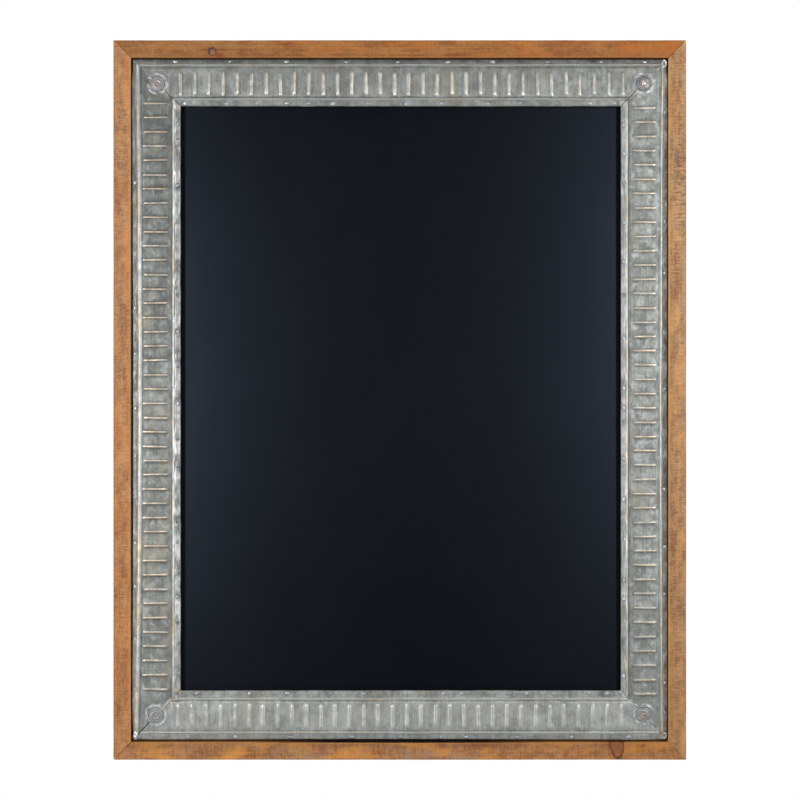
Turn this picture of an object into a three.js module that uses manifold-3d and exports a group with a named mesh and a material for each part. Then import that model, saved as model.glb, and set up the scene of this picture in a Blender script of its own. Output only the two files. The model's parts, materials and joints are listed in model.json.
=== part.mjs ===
// Wall chalkboard: a black writing panel in a border of pressed metal strips, set in a mitred pine frame.
// Lengths are in millimetres and +Z is up. The front faces -Y and the wall is the plane y = 0.
// The origin is the middle of the frame's outline, on the wall.

import * as THREE from 'three';
import { mergeVertices } from 'three/addons/utils/BufferGeometryUtils.js';
import Module from 'manifold-3d';

const wasm = await Module();
wasm.setup();

// Pine frame
const frameWidth = 597;
const frameHeight = 750;
const railFace = 18.6;
const railDepth = 30;
const railRounding = 1.2;
const rabbetWidth = 8;

// Clearances
const seatGap = 0.3;
const mitreGap = 0.3;
const ringPlay = 0.3;
const cutOverrun = 1;

// Rubber pads between the frame and the wall
const padRadius = 4;
const padHeight = 3;
const padRounding = 0.8;
const padFromEnd = 42;

// Back board, in the step in the back of the rails
const backBoardThickness = 3.2;
const backBoardPlay = 0.7;

// Core rails under the metal, and the writing panel in the step in their back
const coreThickness = 9.5;
const coreRabbetWidth = 8;
const panelThickness = 3;
const panelPlay = 0.7;

// Pressed metal strips
const stripWidth = 49.5;
const sheetThickness = 0.5;
const metalSetback = 3.6;
const borderSideGap = 1.8;
const borderEndGap = 2.4;
const borderRise = 0.8;
const foldRadius = 1.4;
const outerFoldShare = 0.7;
const beadWidth = 3.3;
const beadHeight = 1.2;
const outerBeadInset = 6.8;
const innerBeadInset = 7.7;
const ribPitch = 14.93;
const ribWidth = 4.2;
const ribHeight = 1;
const ribOuterMargin = 11.8;
const ribInnerMargin = 12.4;
const tackRadius = 1.9;
const tackHeight = 0.9;
const outerTackInset = 2.6;
const innerTackInset = 3.4;

// Cap and nail at each corner of the metal
const capRadius = 8.4;
const capRimHeight = 0.7;
const capCrownRadius = 4.4;
const capCrownHeight = 1.3;
const nailHeadRadius = 2.4;
const nailHeadHeight = 0.9;
const nailShankRadius = 1;

// Screws
const screwHeadRadius = 3;
const screwHeadHeight = 1.7;
const screwShankRadius = 1.4;
const screwTipLength = 2;

// Hanging rings and their straps
const hangerHeightShare = 0.22;
const strapLength = 38;
const strapWidth = 12;
const strapThickness = 1.2;
const ringWireRadius = 1.2;
const ringLegLength = 6;
const ringSideGap = 1;

// Flat points that hold the back board, and the V-nails in the pine mitres
const pointWidth = 6;
const pointThickness = 0.6;
const pointReach = 10;
const pointPlaceShares = [-0.27, 0.27];
const vNailThickness = 0.8;
const vNailHeight = 10;
const vNailLeg = 6;

// Shares of the sizes above
const pointBiteShare = 0.5;
const pointTipShare = 0.4;
const screwBiteShare = 0.7;
const nailBiteShare = 0.8;
const screwPlaceShares = [-0.35, 0.35];
const strapScrewShares = [0.34, 0.79];
const ribCrestShare = 0.5;
const headCrestShare = 0.55;
const headShoulderShare = 0.6;

// Sides of round pieces
const roundSides = 16;
const smallSides = 10;
const tackSides = 6;
const ribSides = 8;
const arcSteps = 2;
const ringSteps = 16;

// Depths, measured from the wall towards the front
const railBack = padHeight;
const railFront = railBack + railDepth;
const metalFace = railFront - metalSetback;
const coreFront = metalFace - sheetThickness - seatGap;
const coreBack = coreFront - coreThickness;
const panelFront = coreBack + panelThickness;
const lipBack = panelFront + seatGap;
const backBoardFront = coreBack - seatGap;
const backBoardBack = backBoardFront - backBoardThickness;
const pointDepth = backBoardBack - seatGap - pointThickness / 2;
const capSeat = metalFace + seatGap;
const nailSeat = capSeat + capCrownHeight + seatGap;
const nailTip = coreFront - coreThickness * nailBiteShare;
const strapBack = backBoardBack - seatGap - strapThickness;
const screwTip = coreBack + coreThickness * screwBiteShare;

// Insets, measured inwards from the outer edge of the pine frame or of the metal border
const railLip = railFace - rabbetWidth;
const wrap = sheetThickness + seatGap;
const coreChamfer = Math.max(foldRadius - wrap, seatGap);
const capInset = stripWidth / 2;
const borderWidth = frameWidth - 2 * (railFace + borderSideGap);
const borderHeight = frameHeight - 2 * (railFace + borderEndGap);

const quarterTurn = Math.PI / 2;

// The four sides, clockwise as seen from the front. Each is built as the top side and turned into place.
// Tack places are shares of the outer edge and of the inner edge, and the ribs are shifted by a share of
// their pitch, because the strips were cut and tacked by hand.
const sides = [
  {
    name: 'top',
    turn: 0,
    frameLength: frameWidth,
    frameReach: frameHeight / 2,
    borderLength: borderWidth,
    borderReach: borderHeight / 2,
    ribShiftShare: 0.14,
    outerTackShares: [0.078, 0.18, 0.286, 0.4, 0.496, 0.589, 0.675, 0.778, 0.879, 0.96],
    innerTackShares: [
      0.01, 0.104, 0.174, 0.242, 0.291, 0.348, 0.426, 0.513, 0.598, 0.7, 0.774, 0.859, 0.934, 0.99,
    ],
  },
  {
    name: 'right',
    turn: quarterTurn,
    frameLength: frameHeight,
    frameReach: frameWidth / 2,
    borderLength: borderHeight,
    borderReach: borderWidth / 2,
    ribShiftShare: 0.11,
    outerTackShares: [
      0.076, 0.154, 0.238, 0.313, 0.401, 0.486, 0.559, 0.633, 0.717, 0.787, 0.873, 0.919, 0.963,
    ],
    innerTackShares: [
      0.029, 0.079, 0.129, 0.196, 0.263, 0.321, 0.395, 0.481, 0.515, 0.603, 0.672, 0.74, 0.811, 0.843,
      0.909, 0.975,
    ],
  },
  {
    name: 'bottom',
    turn: 2 * quarterTurn,
    frameLength: frameWidth,
    frameReach: frameHeight / 2,
    borderLength: borderWidth,
    borderReach: borderHeight / 2,
    ribShiftShare: 0.01,
    outerTackShares: [0.07, 0.177, 0.28, 0.374, 0.424, 0.498, 0.591, 0.705, 0.808, 0.899],
    innerTackShares: [
      0.027, 0.068, 0.149, 0.211, 0.255, 0.359, 0.399, 0.486, 0.582, 0.659, 0.756, 0.842, 0.963,
    ],
  },
  {
    name: 'left',
    turn: 3 * quarterTurn,
    frameLength: frameHeight,
    frameReach: frameWidth / 2,
    borderLength: borderHeight,
    borderReach: borderWidth / 2,
    ribShiftShare: 0.22,
    outerTackShares: [0.072, 0.146, 0.223, 0.288, 0.355, 0.416, 0.487, 0.568, 0.634, 0.819],
    innerTackShares: [
      0.037, 0.081, 0.117, 0.161, 0.211, 0.256, 0.29, 0.385, 0.431, 0.492, 0.556, 0.617, 0.679, 0.739, 0.804,
      0.867, 0.945, 0.971,
    ],
  },
];

// Places of the screws, in the whole board's frame, with the depth of the surface that each head sits on
const depthAxis = new THREE.Vector3(0, 1, 0);
const hangerZ = frameHeight * hangerHeightShare;
const hangers = [
  { name: 'left', x: capInset - borderWidth / 2 },
  { name: 'right', x: borderWidth / 2 - capInset },
];
const screws = [];
for (const side of sides) {
  for (const share of screwPlaceShares) {
    const place = new THREE.Vector3(share * side.borderLength, 0, side.borderReach - capInset);
    place.applyAxisAngle(depthAxis, side.turn);
    place.z += borderRise;
    screws.push({ name: `back_screw_${screws.length + 1}`, place, headSeat: backBoardBack - seatGap });
  }
}
for (const { name, x } of hangers) {
  strapScrewShares.forEach((share, i) => {
    const place = new THREE.Vector3(x, 0, hangerZ - share * strapLength);
    screws.push({ name: `hanger_screw_${name}_${i + 1}`, place, headSeat: strapBack - seatGap });
  });
}

// Finishes
const finishes = {
  pine: { color: 0xb4835a, roughness: 0.6, metalness: 0 },
  fibreboard: { color: 0x9a7b58, roughness: 0.85, metalness: 0 },
  hardboard: { color: 0x6b4a30, roughness: 0.75, metalness: 0 },
  pressedMetal: { color: 0x9a9b96, roughness: 0.42, metalness: 0.85 },
  tarnishedMetal: { color: 0x8a8580, roughness: 0.4, metalness: 0.9 },
  brightSteel: { color: 0xc2c4c6, roughness: 0.3, metalness: 1 },
  chalkPaint: { color: 0x14181f, roughness: 0.7, metalness: 0 },
  rubber: { color: 0x1c1c1c, roughness: 0.9, metalness: 0 },
};

// A closed geometry as a solid that can be joined and cut.
function solidOf(geometry) {
  const bare = geometry.clone();
  bare.deleteAttribute('normal');
  bare.deleteAttribute('uv');
  const merged = mergeVertices(bare);
  const corners = merged.index.array;
  const triangles = [];
  for (let i = 0; i < corners.length; i += 3) {
    const [a, b, c] = corners.slice(i, i + 3);
    if (a !== b && b !== c && c !== a) triangles.push(a, b, c);
  }
  const vertProperties = Float32Array.from(merged.attributes.position.array);
  const triVerts = Uint32Array.from(triangles);
  return new wasm.Manifold(new wasm.Mesh({ numProp: 3, vertProperties, triVerts }));
}

// A solid as a geometry.
function geometryOf(solid) {
  const mesh = solid.getMesh();
  const geometry = new THREE.BufferGeometry();
  geometry.setAttribute('position', new THREE.BufferAttribute(mesh.vertProperties, 3));
  geometry.setIndex(new THREE.BufferAttribute(mesh.triVerts, 1));
  geometry.computeVertexNormals();
  return geometry;
}

// A solid of revolution about Y. The profile lists [radius, height] from the lowest point, up the outside.
function turned(profile, sideCount, phase = 0) {
  const points = profile.map(([radius, height]) => new THREE.Vector2(radius, height));
  return new THREE.LatheGeometry(points, sideCount, phase);
}

// A round cutter along the depth, centred at x and z, between two depths from the wall.
function drill(radius, x, z, fromDepth, toDepth) {
  const length = toDepth - fromDepth;
  const cutter = new THREE.CylinderGeometry(radius, radius, length, smallSides);
  cutter.translate(x, -(fromDepth + length / 2), z);
  return solidOf(cutter);
}

// A named piece, placed in its group.
function addPiece(parent, name, geometry, finish, x = 0, y = 0, z = 0) {
  const mesh = new THREE.Mesh(geometry, new THREE.MeshStandardMaterial(finish));
  mesh.name = name;
  mesh.position.set(x, y, z);
  parent.add(mesh);
  return mesh;
}

// A bar cut at 45 degrees at both ends, standing as the top side of a frame. Its section has x inwards from
// the frame's outer edge and y away from the wall. The outer edge is at z = 0 and the bar's middle at x = 0.
function mitredBar(section, length) {
  const bar = new THREE.ExtrudeGeometry(section, { depth: 1, bevelEnabled: false, curveSegments: arcSteps });
  const place = bar.attributes.position;
  for (let i = 0; i < place.count; i += 1) {
    const halfLength = length / 2 - place.getX(i) - mitreGap * Math.SQRT1_2;
    place.setZ(i, (2 * place.getZ(i) - 1) * halfLength);
  }
  const inwards = new THREE.Vector3(0, 0, -1);
  const frontwards = new THREE.Vector3(0, -1, 0);
  const along = new THREE.Vector3(-1, 0, 0);
  return bar.applyMatrix4(new THREE.Matrix4().makeBasis(inwards, frontwards, along));
}

// Pine rail: a step in its back for the back board, and rounded front edges.
function railSection() {
  const section = new THREE.Shape();
  const roundingHeight = railFront - railRounding;
  section.moveTo(0, railBack);
  section.lineTo(railLip, railBack);
  section.lineTo(railLip, coreBack);
  section.lineTo(railFace, coreBack);
  section.lineTo(railFace, roundingHeight);
  section.absarc(railFace - railRounding, roundingHeight, railRounding, 0, quarterTurn);
  section.lineTo(railRounding, railFront);
  section.absarc(railRounding, roundingHeight, railRounding, quarterTurn, 2 * quarterTurn);
  section.closePath();
  return section;
}

// V-nail, standing in the top right mitre: two legs along the rails, which meet on the mitre. Its slot is
// larger by the clearance.
function vNailShape(clearance) {
  const inner = -vNailThickness / 2 - clearance;
  const outer = vNailThickness / 2 + clearance;
  const end = vNailThickness / 2 - vNailLeg - clearance;
  const outline = [
    [outer, outer],
    [end, outer],
    [end, inner],
    [inner, inner],
    [inner, end],
    [outer, end],
  ];
  const shape = new THREE.Shape(outline.map(([x, z]) => new THREE.Vector2(x, z)));
  const depth = vNailHeight + clearance;
  const body = new THREE.ExtrudeGeometry(shape, { depth, bevelEnabled: false });
  return body.rotateX(quarterTurn);
}

// The slots for the V-nails at both ends of a rail.
function vNailSlots(length) {
  const inset = railLip / 2;
  return [1, -1].map((end) => {
    const slot = vNailShape(seatGap);
    if (end < 0) slot.rotateY(-quarterTurn);
    slot.translate(end * (length / 2 - inset), -railBack, -inset);
    return solidOf(slot);
  });
}

// Flat point that holds the back board: a pointed tongue in the rail and a tab over the board. It lies in the
// plane of x and z with the rail's step at z = 0. Its slot is larger by the clearance.
function pointShape(clearance) {
  const half = pointWidth / 2 + clearance;
  const bite = railLip * pointBiteShare + clearance;
  const tip = pointWidth * pointTipShare;
  const outline = [
    [-half, -pointReach],
    [half, -pointReach],
    [half, bite - tip],
    [0, bite],
    [-half, bite - tip],
  ];
  const shape = new THREE.Shape(outline.map(([x, z]) => new THREE.Vector2(x, z)));
  const depth = pointThickness + 2 * clearance;
  const body = new THREE.ExtrudeGeometry(shape, { depth, bevelEnabled: false });
  body.rotateX(quarterTurn);
  return body.translate(0, depth / 2, 0);
}

function pineRail(side) {
  let rail = solidOf(mitredBar(railSection(), side.frameLength));
  for (const slot of vNailSlots(side.frameLength)) rail = rail.subtract(slot);
  for (const share of pointPlaceShares) {
    const slot = pointShape(seatGap).translate(share * side.frameLength, -pointDepth, -railLip);
    rail = rail.subtract(solidOf(slot));
  }
  return geometryOf(rail);
}

// Core rail: stands inside the folded metal, with a step in its back for the writing panel.
function coreSection() {
  const innerEdge = stripWidth - wrap;
  const step = innerEdge - coreRabbetWidth;
  const section = new THREE.Shape();
  section.moveTo(wrap, coreBack);
  section.lineTo(step, coreBack);
  section.lineTo(step, lipBack);
  section.lineTo(innerEdge, lipBack);
  section.lineTo(innerEdge, coreFront - coreChamfer);
  section.lineTo(innerEdge - coreChamfer, coreFront);
  section.lineTo(wrap + coreChamfer, coreFront);
  section.lineTo(wrap, coreFront - coreChamfer);
  section.closePath();
  return section;
}

// A long bead in the metal, as an arc that rises from the strip's face.
function addBead(line, inset) {
  const halfWidth = beadWidth / 2;
  const radius = (beadHeight * beadHeight + halfWidth * halfWidth) / (2 * beadHeight);
  const lean = Math.asin(Math.min(1, halfWidth / radius));
  const centre = metalFace + beadHeight - radius;
  line.lineTo(inset - halfWidth, metalFace);
  line.absarc(inset, centre, radius, quarterTurn + lean, quarterTurn - lean, true);
}

// The points of a line moved to its right by a distance.
function offsetLine(points, distance) {
  return points.map((point, i) => {
    const before = points[Math.max(i - 1, 0)];
    const after = points[Math.min(i + 1, points.length - 1)];
    const along = after.clone().sub(before).normalize();
    return new THREE.Vector2(point.x + along.y * distance, point.y - along.x * distance);
  });
}

// Metal strip: folded over the core's outer edge, with a bead on each side of its face, and folded over the
// core's inner edge down to the back of its lip.
function stripSection() {
  const foldHeight = metalFace - foldRadius;
  const line = new THREE.Path();
  line.moveTo(0, coreFront - coreThickness * outerFoldShare);
  line.lineTo(0, foldHeight);
  line.absarc(foldRadius, foldHeight, foldRadius, 2 * quarterTurn, quarterTurn, true);
  addBead(line, outerBeadInset);
  addBead(line, stripWidth - innerBeadInset);
  line.lineTo(stripWidth - foldRadius, metalFace);
  line.absarc(stripWidth - foldRadius, foldHeight, foldRadius, quarterTurn, 0, true);
  line.lineTo(stripWidth, lipBack);
  const top = line.getPoints(arcSteps);
  const underside = offsetLine(top, sheetThickness);
  return new THREE.Shape([...underside, ...top.reverse()]);
}

// A raised boss on the metal's face, sunk into the sheet. Extra length stretches its round plan along z.
function boss(radius, height, crestShare, extraLength, sideCount) {
  const sink = sheetThickness / 2;
  const profile = [
    [0, -sink],
    [radius, -sink],
    [radius * crestShare, height],
    [0, height],
  ];
  const body = turned(profile, sideCount, Math.PI / sideCount);
  const place = body.attributes.position;
  for (let i = 0; i < place.count; i += 1) {
    const z = place.getZ(i);
    place.setZ(i, z + (Math.sign(z) * extraLength) / 2);
  }
  return body.rotateX(2 * quarterTurn);
}

// The middles of the cross ribs along a strip.
function ribPlaces(side) {
  const gapCount = Math.round((side.borderLength - 2 * stripWidth) / ribPitch);
  const first = (side.ribShiftShare - gapCount / 2) * ribPitch;
  return Array.from({ length: gapCount + 1 }, (_, i) => first + i * ribPitch);
}

function metalStrip(side) {
  const length = side.borderLength;
  const innerLength = length - 2 * stripWidth;
  const ribLength = stripWidth - ribOuterMargin - ribInnerMargin;
  const ribMiddle = ribOuterMargin + ribLength / 2;
  let strip = solidOf(mitredBar(stripSection(), length));
  for (const x of ribPlaces(side)) {
    const rib = boss(ribWidth / 2, ribHeight, ribCrestShare, ribLength - ribWidth, ribSides);
    strip = strip.add(solidOf(rib.translate(x, -metalFace, -ribMiddle)));
  }
  const outerTacks = side.outerTackShares.map((share) => [(share - 1 / 2) * length, outerTackInset]);
  const innerTacks = side.innerTackShares.map((share) => [
    (share - 1 / 2) * innerLength,
    stripWidth - innerTackInset,
  ]);
  for (const [x, inset] of [...outerTacks, ...innerTacks]) {
    const tack = boss(tackRadius, tackHeight, headCrestShare, 0, tackSides);
    strip = strip.add(solidOf(tack.translate(x, -metalFace, -inset)));
  }
  return geometryOf(cutCornerNails(strip, length));
}

function coreRail(side) {
  let rail = cutCornerNails(solidOf(mitredBar(coreSection(), side.borderLength)), side.borderLength);
  for (const screw of screws) {
    const place = screw.place.clone();
    place.z -= borderRise;
    place.applyAxisAngle(depthAxis, -side.turn);
    place.z -= side.borderReach;
    const hole = drill(screwShankRadius + seatGap, place.x, place.z, backBoardFront, screwTip + seatGap);
    rail = rail.subtract(hole);
  }
  return geometryOf(rail);
}

function cutCornerNails(solid, length) {
  return [1, -1].reduce((rest, end) => {
    const x = end * (length / 2 - capInset);
    const radius = nailShankRadius + seatGap;
    return rest.subtract(drill(radius, x, -capInset, nailTip - seatGap, railFront));
  }, solid);
}

function cornerCap() {
  const boreRadius = nailShankRadius + seatGap;
  return turned(
    [
      [boreRadius, 0],
      [capRadius, 0],
      [capRadius, capRimHeight * headShoulderShare],
      [capRadius - capRimHeight * headShoulderShare, capRimHeight],
      [capCrownRadius + capRimHeight, capRimHeight],
      [capCrownRadius, capCrownHeight],
      [boreRadius, capCrownHeight],
      [boreRadius, 0],
    ],
    roundSides,
  );
}

// A nail or screw about Y: its head stands up from y = 0 and its shank goes down.
function fastener(headRadius, headHeight, shankRadius, shankLength, tipLength) {
  return turned(
    [
      [0, -shankLength],
      [shankRadius, tipLength - shankLength],
      [shankRadius, 0],
      [headRadius, 0],
      [headRadius, headHeight * (1 - headShoulderShare)],
      [headRadius * headShoulderShare, headHeight],
      [0, headHeight],
    ],
    smallSides,
  );
}

// Rubber pad: its flat face is on the wall.
function wallPad() {
  return turned(
    [
      [0, seatGap - padHeight],
      [padRadius, seatGap - padHeight],
      [padRadius, -padRounding],
      [padRadius - padRounding, 0],
      [0, 0],
    ],
    smallSides,
  );
}

// Hanger strap, in its own frame: the back board is the plane y = 0, and the ring's pin lies along x through
// z = 0. The strap hangs down from there and curls round the pin.
const eyeHeight = seatGap + strapThickness + ringPlay + ringWireRadius;

function hangerStrap() {
  const boreRadius = ringWireRadius + ringPlay;
  const curlRadius = boreRadius + strapThickness;
  const strapTop = seatGap + strapThickness;
  const curlEnd = Math.asin((eyeHeight - strapTop) / curlRadius);
  const outline = new THREE.Shape();
  outline.moveTo(-strapLength, seatGap);
  outline.lineTo(0, seatGap);
  outline.absarc(0, eyeHeight, curlRadius, -quarterTurn, 2 * quarterTurn + curlEnd);
  outline.lineTo(-strapLength, strapTop);
  outline.closePath();
  const eye = new THREE.Path();
  eye.absarc(0, eyeHeight, boreRadius, 0, 4 * quarterTurn);
  outline.holes.push(eye);
  const bent = new THREE.ExtrudeGeometry(outline, {
    depth: strapWidth,
    bevelEnabled: false,
    curveSegments: smallSides / 2,
  });
  bent.translate(0, 0, -strapWidth / 2);
  const up = new THREE.Vector3(0, 0, 1);
  const offBoard = new THREE.Vector3(0, 1, 0);
  const across = new THREE.Vector3(-1, 0, 0);
  bent.applyMatrix4(new THREE.Matrix4().makeBasis(up, offBoard, across));

  const plan = new THREE.Shape();
  const endRadius = strapWidth / 2;
  plan.absarc(0, endRadius - strapLength, endRadius, 2 * quarterTurn, 4 * quarterTurn);
  plan.lineTo(endRadius, curlRadius + cutOverrun);
  plan.lineTo(-endRadius, curlRadius + cutOverrun);
  plan.closePath();
  const depth = eyeHeight + curlRadius + 2 * cutOverrun;
  const trim = new THREE.ExtrudeGeometry(plan, { depth, bevelEnabled: false, curveSegments: smallSides / 2 });
  trim.rotateX(quarterTurn);
  trim.translate(0, depth - cutOverrun, 0);

  let strap = solidOf(bent).intersect(solidOf(trim));
  for (const share of strapScrewShares) {
    const radius = screwShankRadius + seatGap;
    strap = strap.subtract(drill(radius, 0, -share * strapLength, -strapTop - cutOverrun, cutOverrun));
  }
  return geometryOf(strap);
}

// The wire of a hanging ring from one end of its pin round to the other: a leg, a half circle and a leg.
const ringHalfWidth = strapWidth / 2 + ringSideGap + ringWireRadius;
const ringReach = ringLegLength + ringHalfWidth;

class RingLoop extends THREE.Curve {
  getPoint(t, target = new THREE.Vector3()) {
    const arcLength = Math.PI * ringHalfWidth;
    const travel = t * (2 * ringLegLength + arcLength);
    if (travel <= ringLegLength) return target.set(ringHalfWidth, 0, travel);
    const pastArc = travel - ringLegLength - arcLength;
    if (pastArc >= 0) return target.set(-ringHalfWidth, 0, ringLegLength - pastArc);
    const angle = (travel - ringLegLength) / ringHalfWidth;
    return target.set(ringHalfWidth * Math.cos(angle), 0, ringLegLength + ringHalfWidth * Math.sin(angle));
  }
}

function hangerRing() {
  const wire = new THREE.Shape();
  wire.absarc(0, 0, ringWireRadius, 0, 4 * quarterTurn);
  const loop = new THREE.ExtrudeGeometry(wire, {
    steps: ringSteps,
    extrudePath: new RingLoop(),
    curveSegments: smallSides / 2,
  });
  const pinLength = 2 * (ringHalfWidth + ringWireRadius);
  const pin = new THREE.CylinderGeometry(ringWireRadius, ringWireRadius, pinLength, smallSides);
  pin.rotateZ(quarterTurn);
  return geometryOf(solidOf(loop).add(solidOf(pin)));
}

// Assembly: the pine frame, then the border that sits a little high inside it
const board = new THREE.Group();
board.name = 'wall_chalkboard';
const border = new THREE.Group();
border.position.z = borderRise;
board.add(border);

for (const side of sides) {
  const outerSide = new THREE.Group();
  outerSide.rotation.y = side.turn;
  board.add(outerSide);
  addPiece(outerSide, `${side.name}_rail`, pineRail(side), finishes.pine, 0, 0, side.frameReach);
  pointPlaceShares.forEach((share, i) => {
    const x = share * side.frameLength;
    const z = side.frameReach - railLip;
    const name = `retainer_point_${side.name}_${i + 1}`;
    addPiece(outerSide, name, pointShape(0), finishes.brightSteel, x, -pointDepth, z);
  });

  const innerSide = new THREE.Group();
  innerSide.rotation.y = side.turn;
  border.add(innerSide);
  addPiece(innerSide, `core_rail_${side.name}`, coreRail(side), finishes.fibreboard, 0, 0, side.borderReach);
  const strip = metalStrip(side);
  addPiece(innerSide, `metal_strip_${side.name}`, strip, finishes.pressedMetal, 0, 0, side.borderReach);
}

// Corners: V-nail, cap and nail, clockwise from the top right
const corners = [
  { name: 'top_right', turn: 0, acrossShare: 1, upShare: 1 },
  { name: 'bottom_right', turn: quarterTurn, acrossShare: 1, upShare: -1 },
  { name: 'bottom_left', turn: 2 * quarterTurn, acrossShare: -1, upShare: -1 },
  { name: 'top_left', turn: 3 * quarterTurn, acrossShare: -1, upShare: 1 },
];
for (const corner of corners) {
  const vNail = vNailShape(0).rotateY(corner.turn);
  const vNailX = corner.acrossShare * (frameWidth / 2 - railLip / 2);
  const vNailZ = corner.upShare * (frameHeight / 2 - railLip / 2);
  addPiece(board, `v_nail_${corner.name}`, vNail, finishes.brightSteel, vNailX, -railBack, vNailZ);

  const x = corner.acrossShare * (borderWidth / 2 - capInset);
  const z = corner.upShare * (borderHeight / 2 - capInset);
  const capName = `corner_cap_${corner.name}`;
  const cap = addPiece(border, capName, cornerCap(), finishes.tarnishedMetal, x, -capSeat, z);
  cap.rotation.x = 2 * quarterTurn;
  const shankLength = nailSeat - nailTip;
  const body = fastener(nailHeadRadius, nailHeadHeight, nailShankRadius, shankLength, nailShankRadius);
  const nail = addPiece(border, `corner_nail_${corner.name}`, body, finishes.brightSteel, x, -nailSeat, z);
  nail.rotation.x = 2 * quarterTurn;

  const padX = corner.acrossShare * (frameWidth / 2 - railLip / 2);
  const padZ = corner.upShare * (frameHeight / 2 - padFromEnd);
  addPiece(board, `wall_pad_${corner.name}`, wallPad(), finishes.rubber, padX, 0, padZ);
}

// Back board, with a hole for each screw
const backBoardInset = railLip + backBoardPlay;
const backBoardBody = new THREE.BoxGeometry(
  frameWidth - 2 * backBoardInset,
  backBoardThickness,
  frameHeight - 2 * backBoardInset,
);
let backBoard = solidOf(backBoardBody);
for (const { place } of screws) {
  const half = backBoardThickness / 2 + cutOverrun;
  backBoard = backBoard.subtract(drill(screwShankRadius + seatGap, place.x, place.z, -half, half));
}
const backBoardMiddle = (backBoardFront + backBoardBack) / 2;
addPiece(board, 'back_board', geometryOf(backBoard), finishes.hardboard, 0, -backBoardMiddle, 0);

// Writing panel, in the step in the back of the core rails
const panelInset = stripWidth - wrap - coreRabbetWidth + panelPlay;
const panelBody = new THREE.BoxGeometry(
  borderWidth - 2 * panelInset,
  panelThickness,
  borderHeight - 2 * panelInset,
);
addPiece(border, 'writing_panel', panelBody, finishes.chalkPaint, 0, -(coreBack + panelFront) / 2, 0);

// Screws, from the back into the core rails
for (const { name, place, headSeat } of screws) {
  const shankLength = screwTip - headSeat;
  const body = fastener(screwHeadRadius, screwHeadHeight, screwShankRadius, shankLength, screwTipLength);
  addPiece(board, name, body, finishes.brightSteel, place.x, -headSeat, place.z);
}

// Hangers. Each ring points up and leans back until it all but touches the back board.
const ringLean = Math.asin(Math.min(1, (eyeHeight - ringWireRadius - seatGap) / ringReach));
for (const { name, x } of hangers) {
  const hanger = new THREE.Group();
  hanger.position.set(x, -backBoardBack, hangerZ);
  board.add(hanger);
  addPiece(hanger, `hanger_strap_${name}`, hangerStrap(), finishes.brightSteel);
  const ring = addPiece(hanger, `hanging_ring_${name}`, hangerRing(), finishes.brightSteel, 0, eyeHeight, 0);
  ring.rotation.x = ringLean;
}

export default board;
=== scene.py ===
"""Wall chalkboard: black writing panel, border of pressed sheet metal with tacked edges, pine frame."""

import json
import math
import random
from collections import namedtuple

import bmesh
import bpy
from bmesh.types import BMEdge, BMVert
from bpy.props import FloatProperty, FloatVectorProperty, PointerProperty
from mathutils import Matrix, Vector, noise


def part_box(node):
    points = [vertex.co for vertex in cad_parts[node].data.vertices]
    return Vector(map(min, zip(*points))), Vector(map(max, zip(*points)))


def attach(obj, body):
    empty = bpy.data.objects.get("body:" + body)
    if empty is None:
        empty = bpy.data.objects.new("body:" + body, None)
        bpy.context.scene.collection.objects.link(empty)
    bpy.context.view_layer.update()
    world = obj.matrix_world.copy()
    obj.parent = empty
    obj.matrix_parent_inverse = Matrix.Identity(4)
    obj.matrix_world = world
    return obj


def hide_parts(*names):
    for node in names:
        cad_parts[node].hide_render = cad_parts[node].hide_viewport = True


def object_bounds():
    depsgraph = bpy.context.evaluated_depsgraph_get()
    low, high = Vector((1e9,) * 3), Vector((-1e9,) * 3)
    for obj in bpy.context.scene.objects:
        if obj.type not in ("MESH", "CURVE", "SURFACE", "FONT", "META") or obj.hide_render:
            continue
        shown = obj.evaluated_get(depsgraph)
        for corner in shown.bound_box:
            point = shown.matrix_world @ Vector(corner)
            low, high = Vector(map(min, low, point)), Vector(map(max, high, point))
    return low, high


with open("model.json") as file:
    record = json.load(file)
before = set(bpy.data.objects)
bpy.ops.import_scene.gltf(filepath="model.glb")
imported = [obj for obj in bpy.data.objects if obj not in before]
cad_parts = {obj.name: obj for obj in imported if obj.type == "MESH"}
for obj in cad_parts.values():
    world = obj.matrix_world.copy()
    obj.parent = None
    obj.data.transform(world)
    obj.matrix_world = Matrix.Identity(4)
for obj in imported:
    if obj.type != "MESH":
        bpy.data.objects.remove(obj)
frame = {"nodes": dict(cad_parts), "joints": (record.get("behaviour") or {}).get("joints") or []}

bl_info = {
    "name": "Wall Chalkboard",
    "version": (1, 0, 0),
    "blender": (4, 5, 0),
    "location": "3D View > Sidebar > Chalkboard",
    "description": "Builds a wall chalkboard with a pressed metal border and a pine frame",
    "category": "Object",
}

MM = 0.001
HALF_TURN = math.pi
FULL_TURN = 2 * math.pi

# Turn a piece that was modelled pointing up, so that it points to the front or to the back.
TO_FRONT = Vector((0, -1, 0)).to_track_quat("Z", "Y").to_matrix().to_4x4()
TO_BACK = Vector((0, 1, 0)).to_track_quat("Z", "Y").to_matrix().to_4x4()

# The board's own box, and what the frame says of its main pieces.
BOARD_LOW, BOARD_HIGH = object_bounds()
TOP_STRIP_LOW, TOP_STRIP_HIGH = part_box("metal_strip_top")
LEFT_STRIP_LOW, LEFT_STRIP_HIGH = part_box("metal_strip_left")
BOTTOM_STRIP_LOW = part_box("metal_strip_bottom")[0]
TOP_RAIL_LOW, TOP_RAIL_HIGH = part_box("top_rail")
BACK_BOARD_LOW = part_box("back_board")[0]
PANEL_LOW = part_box("writing_panel")[0]

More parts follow.
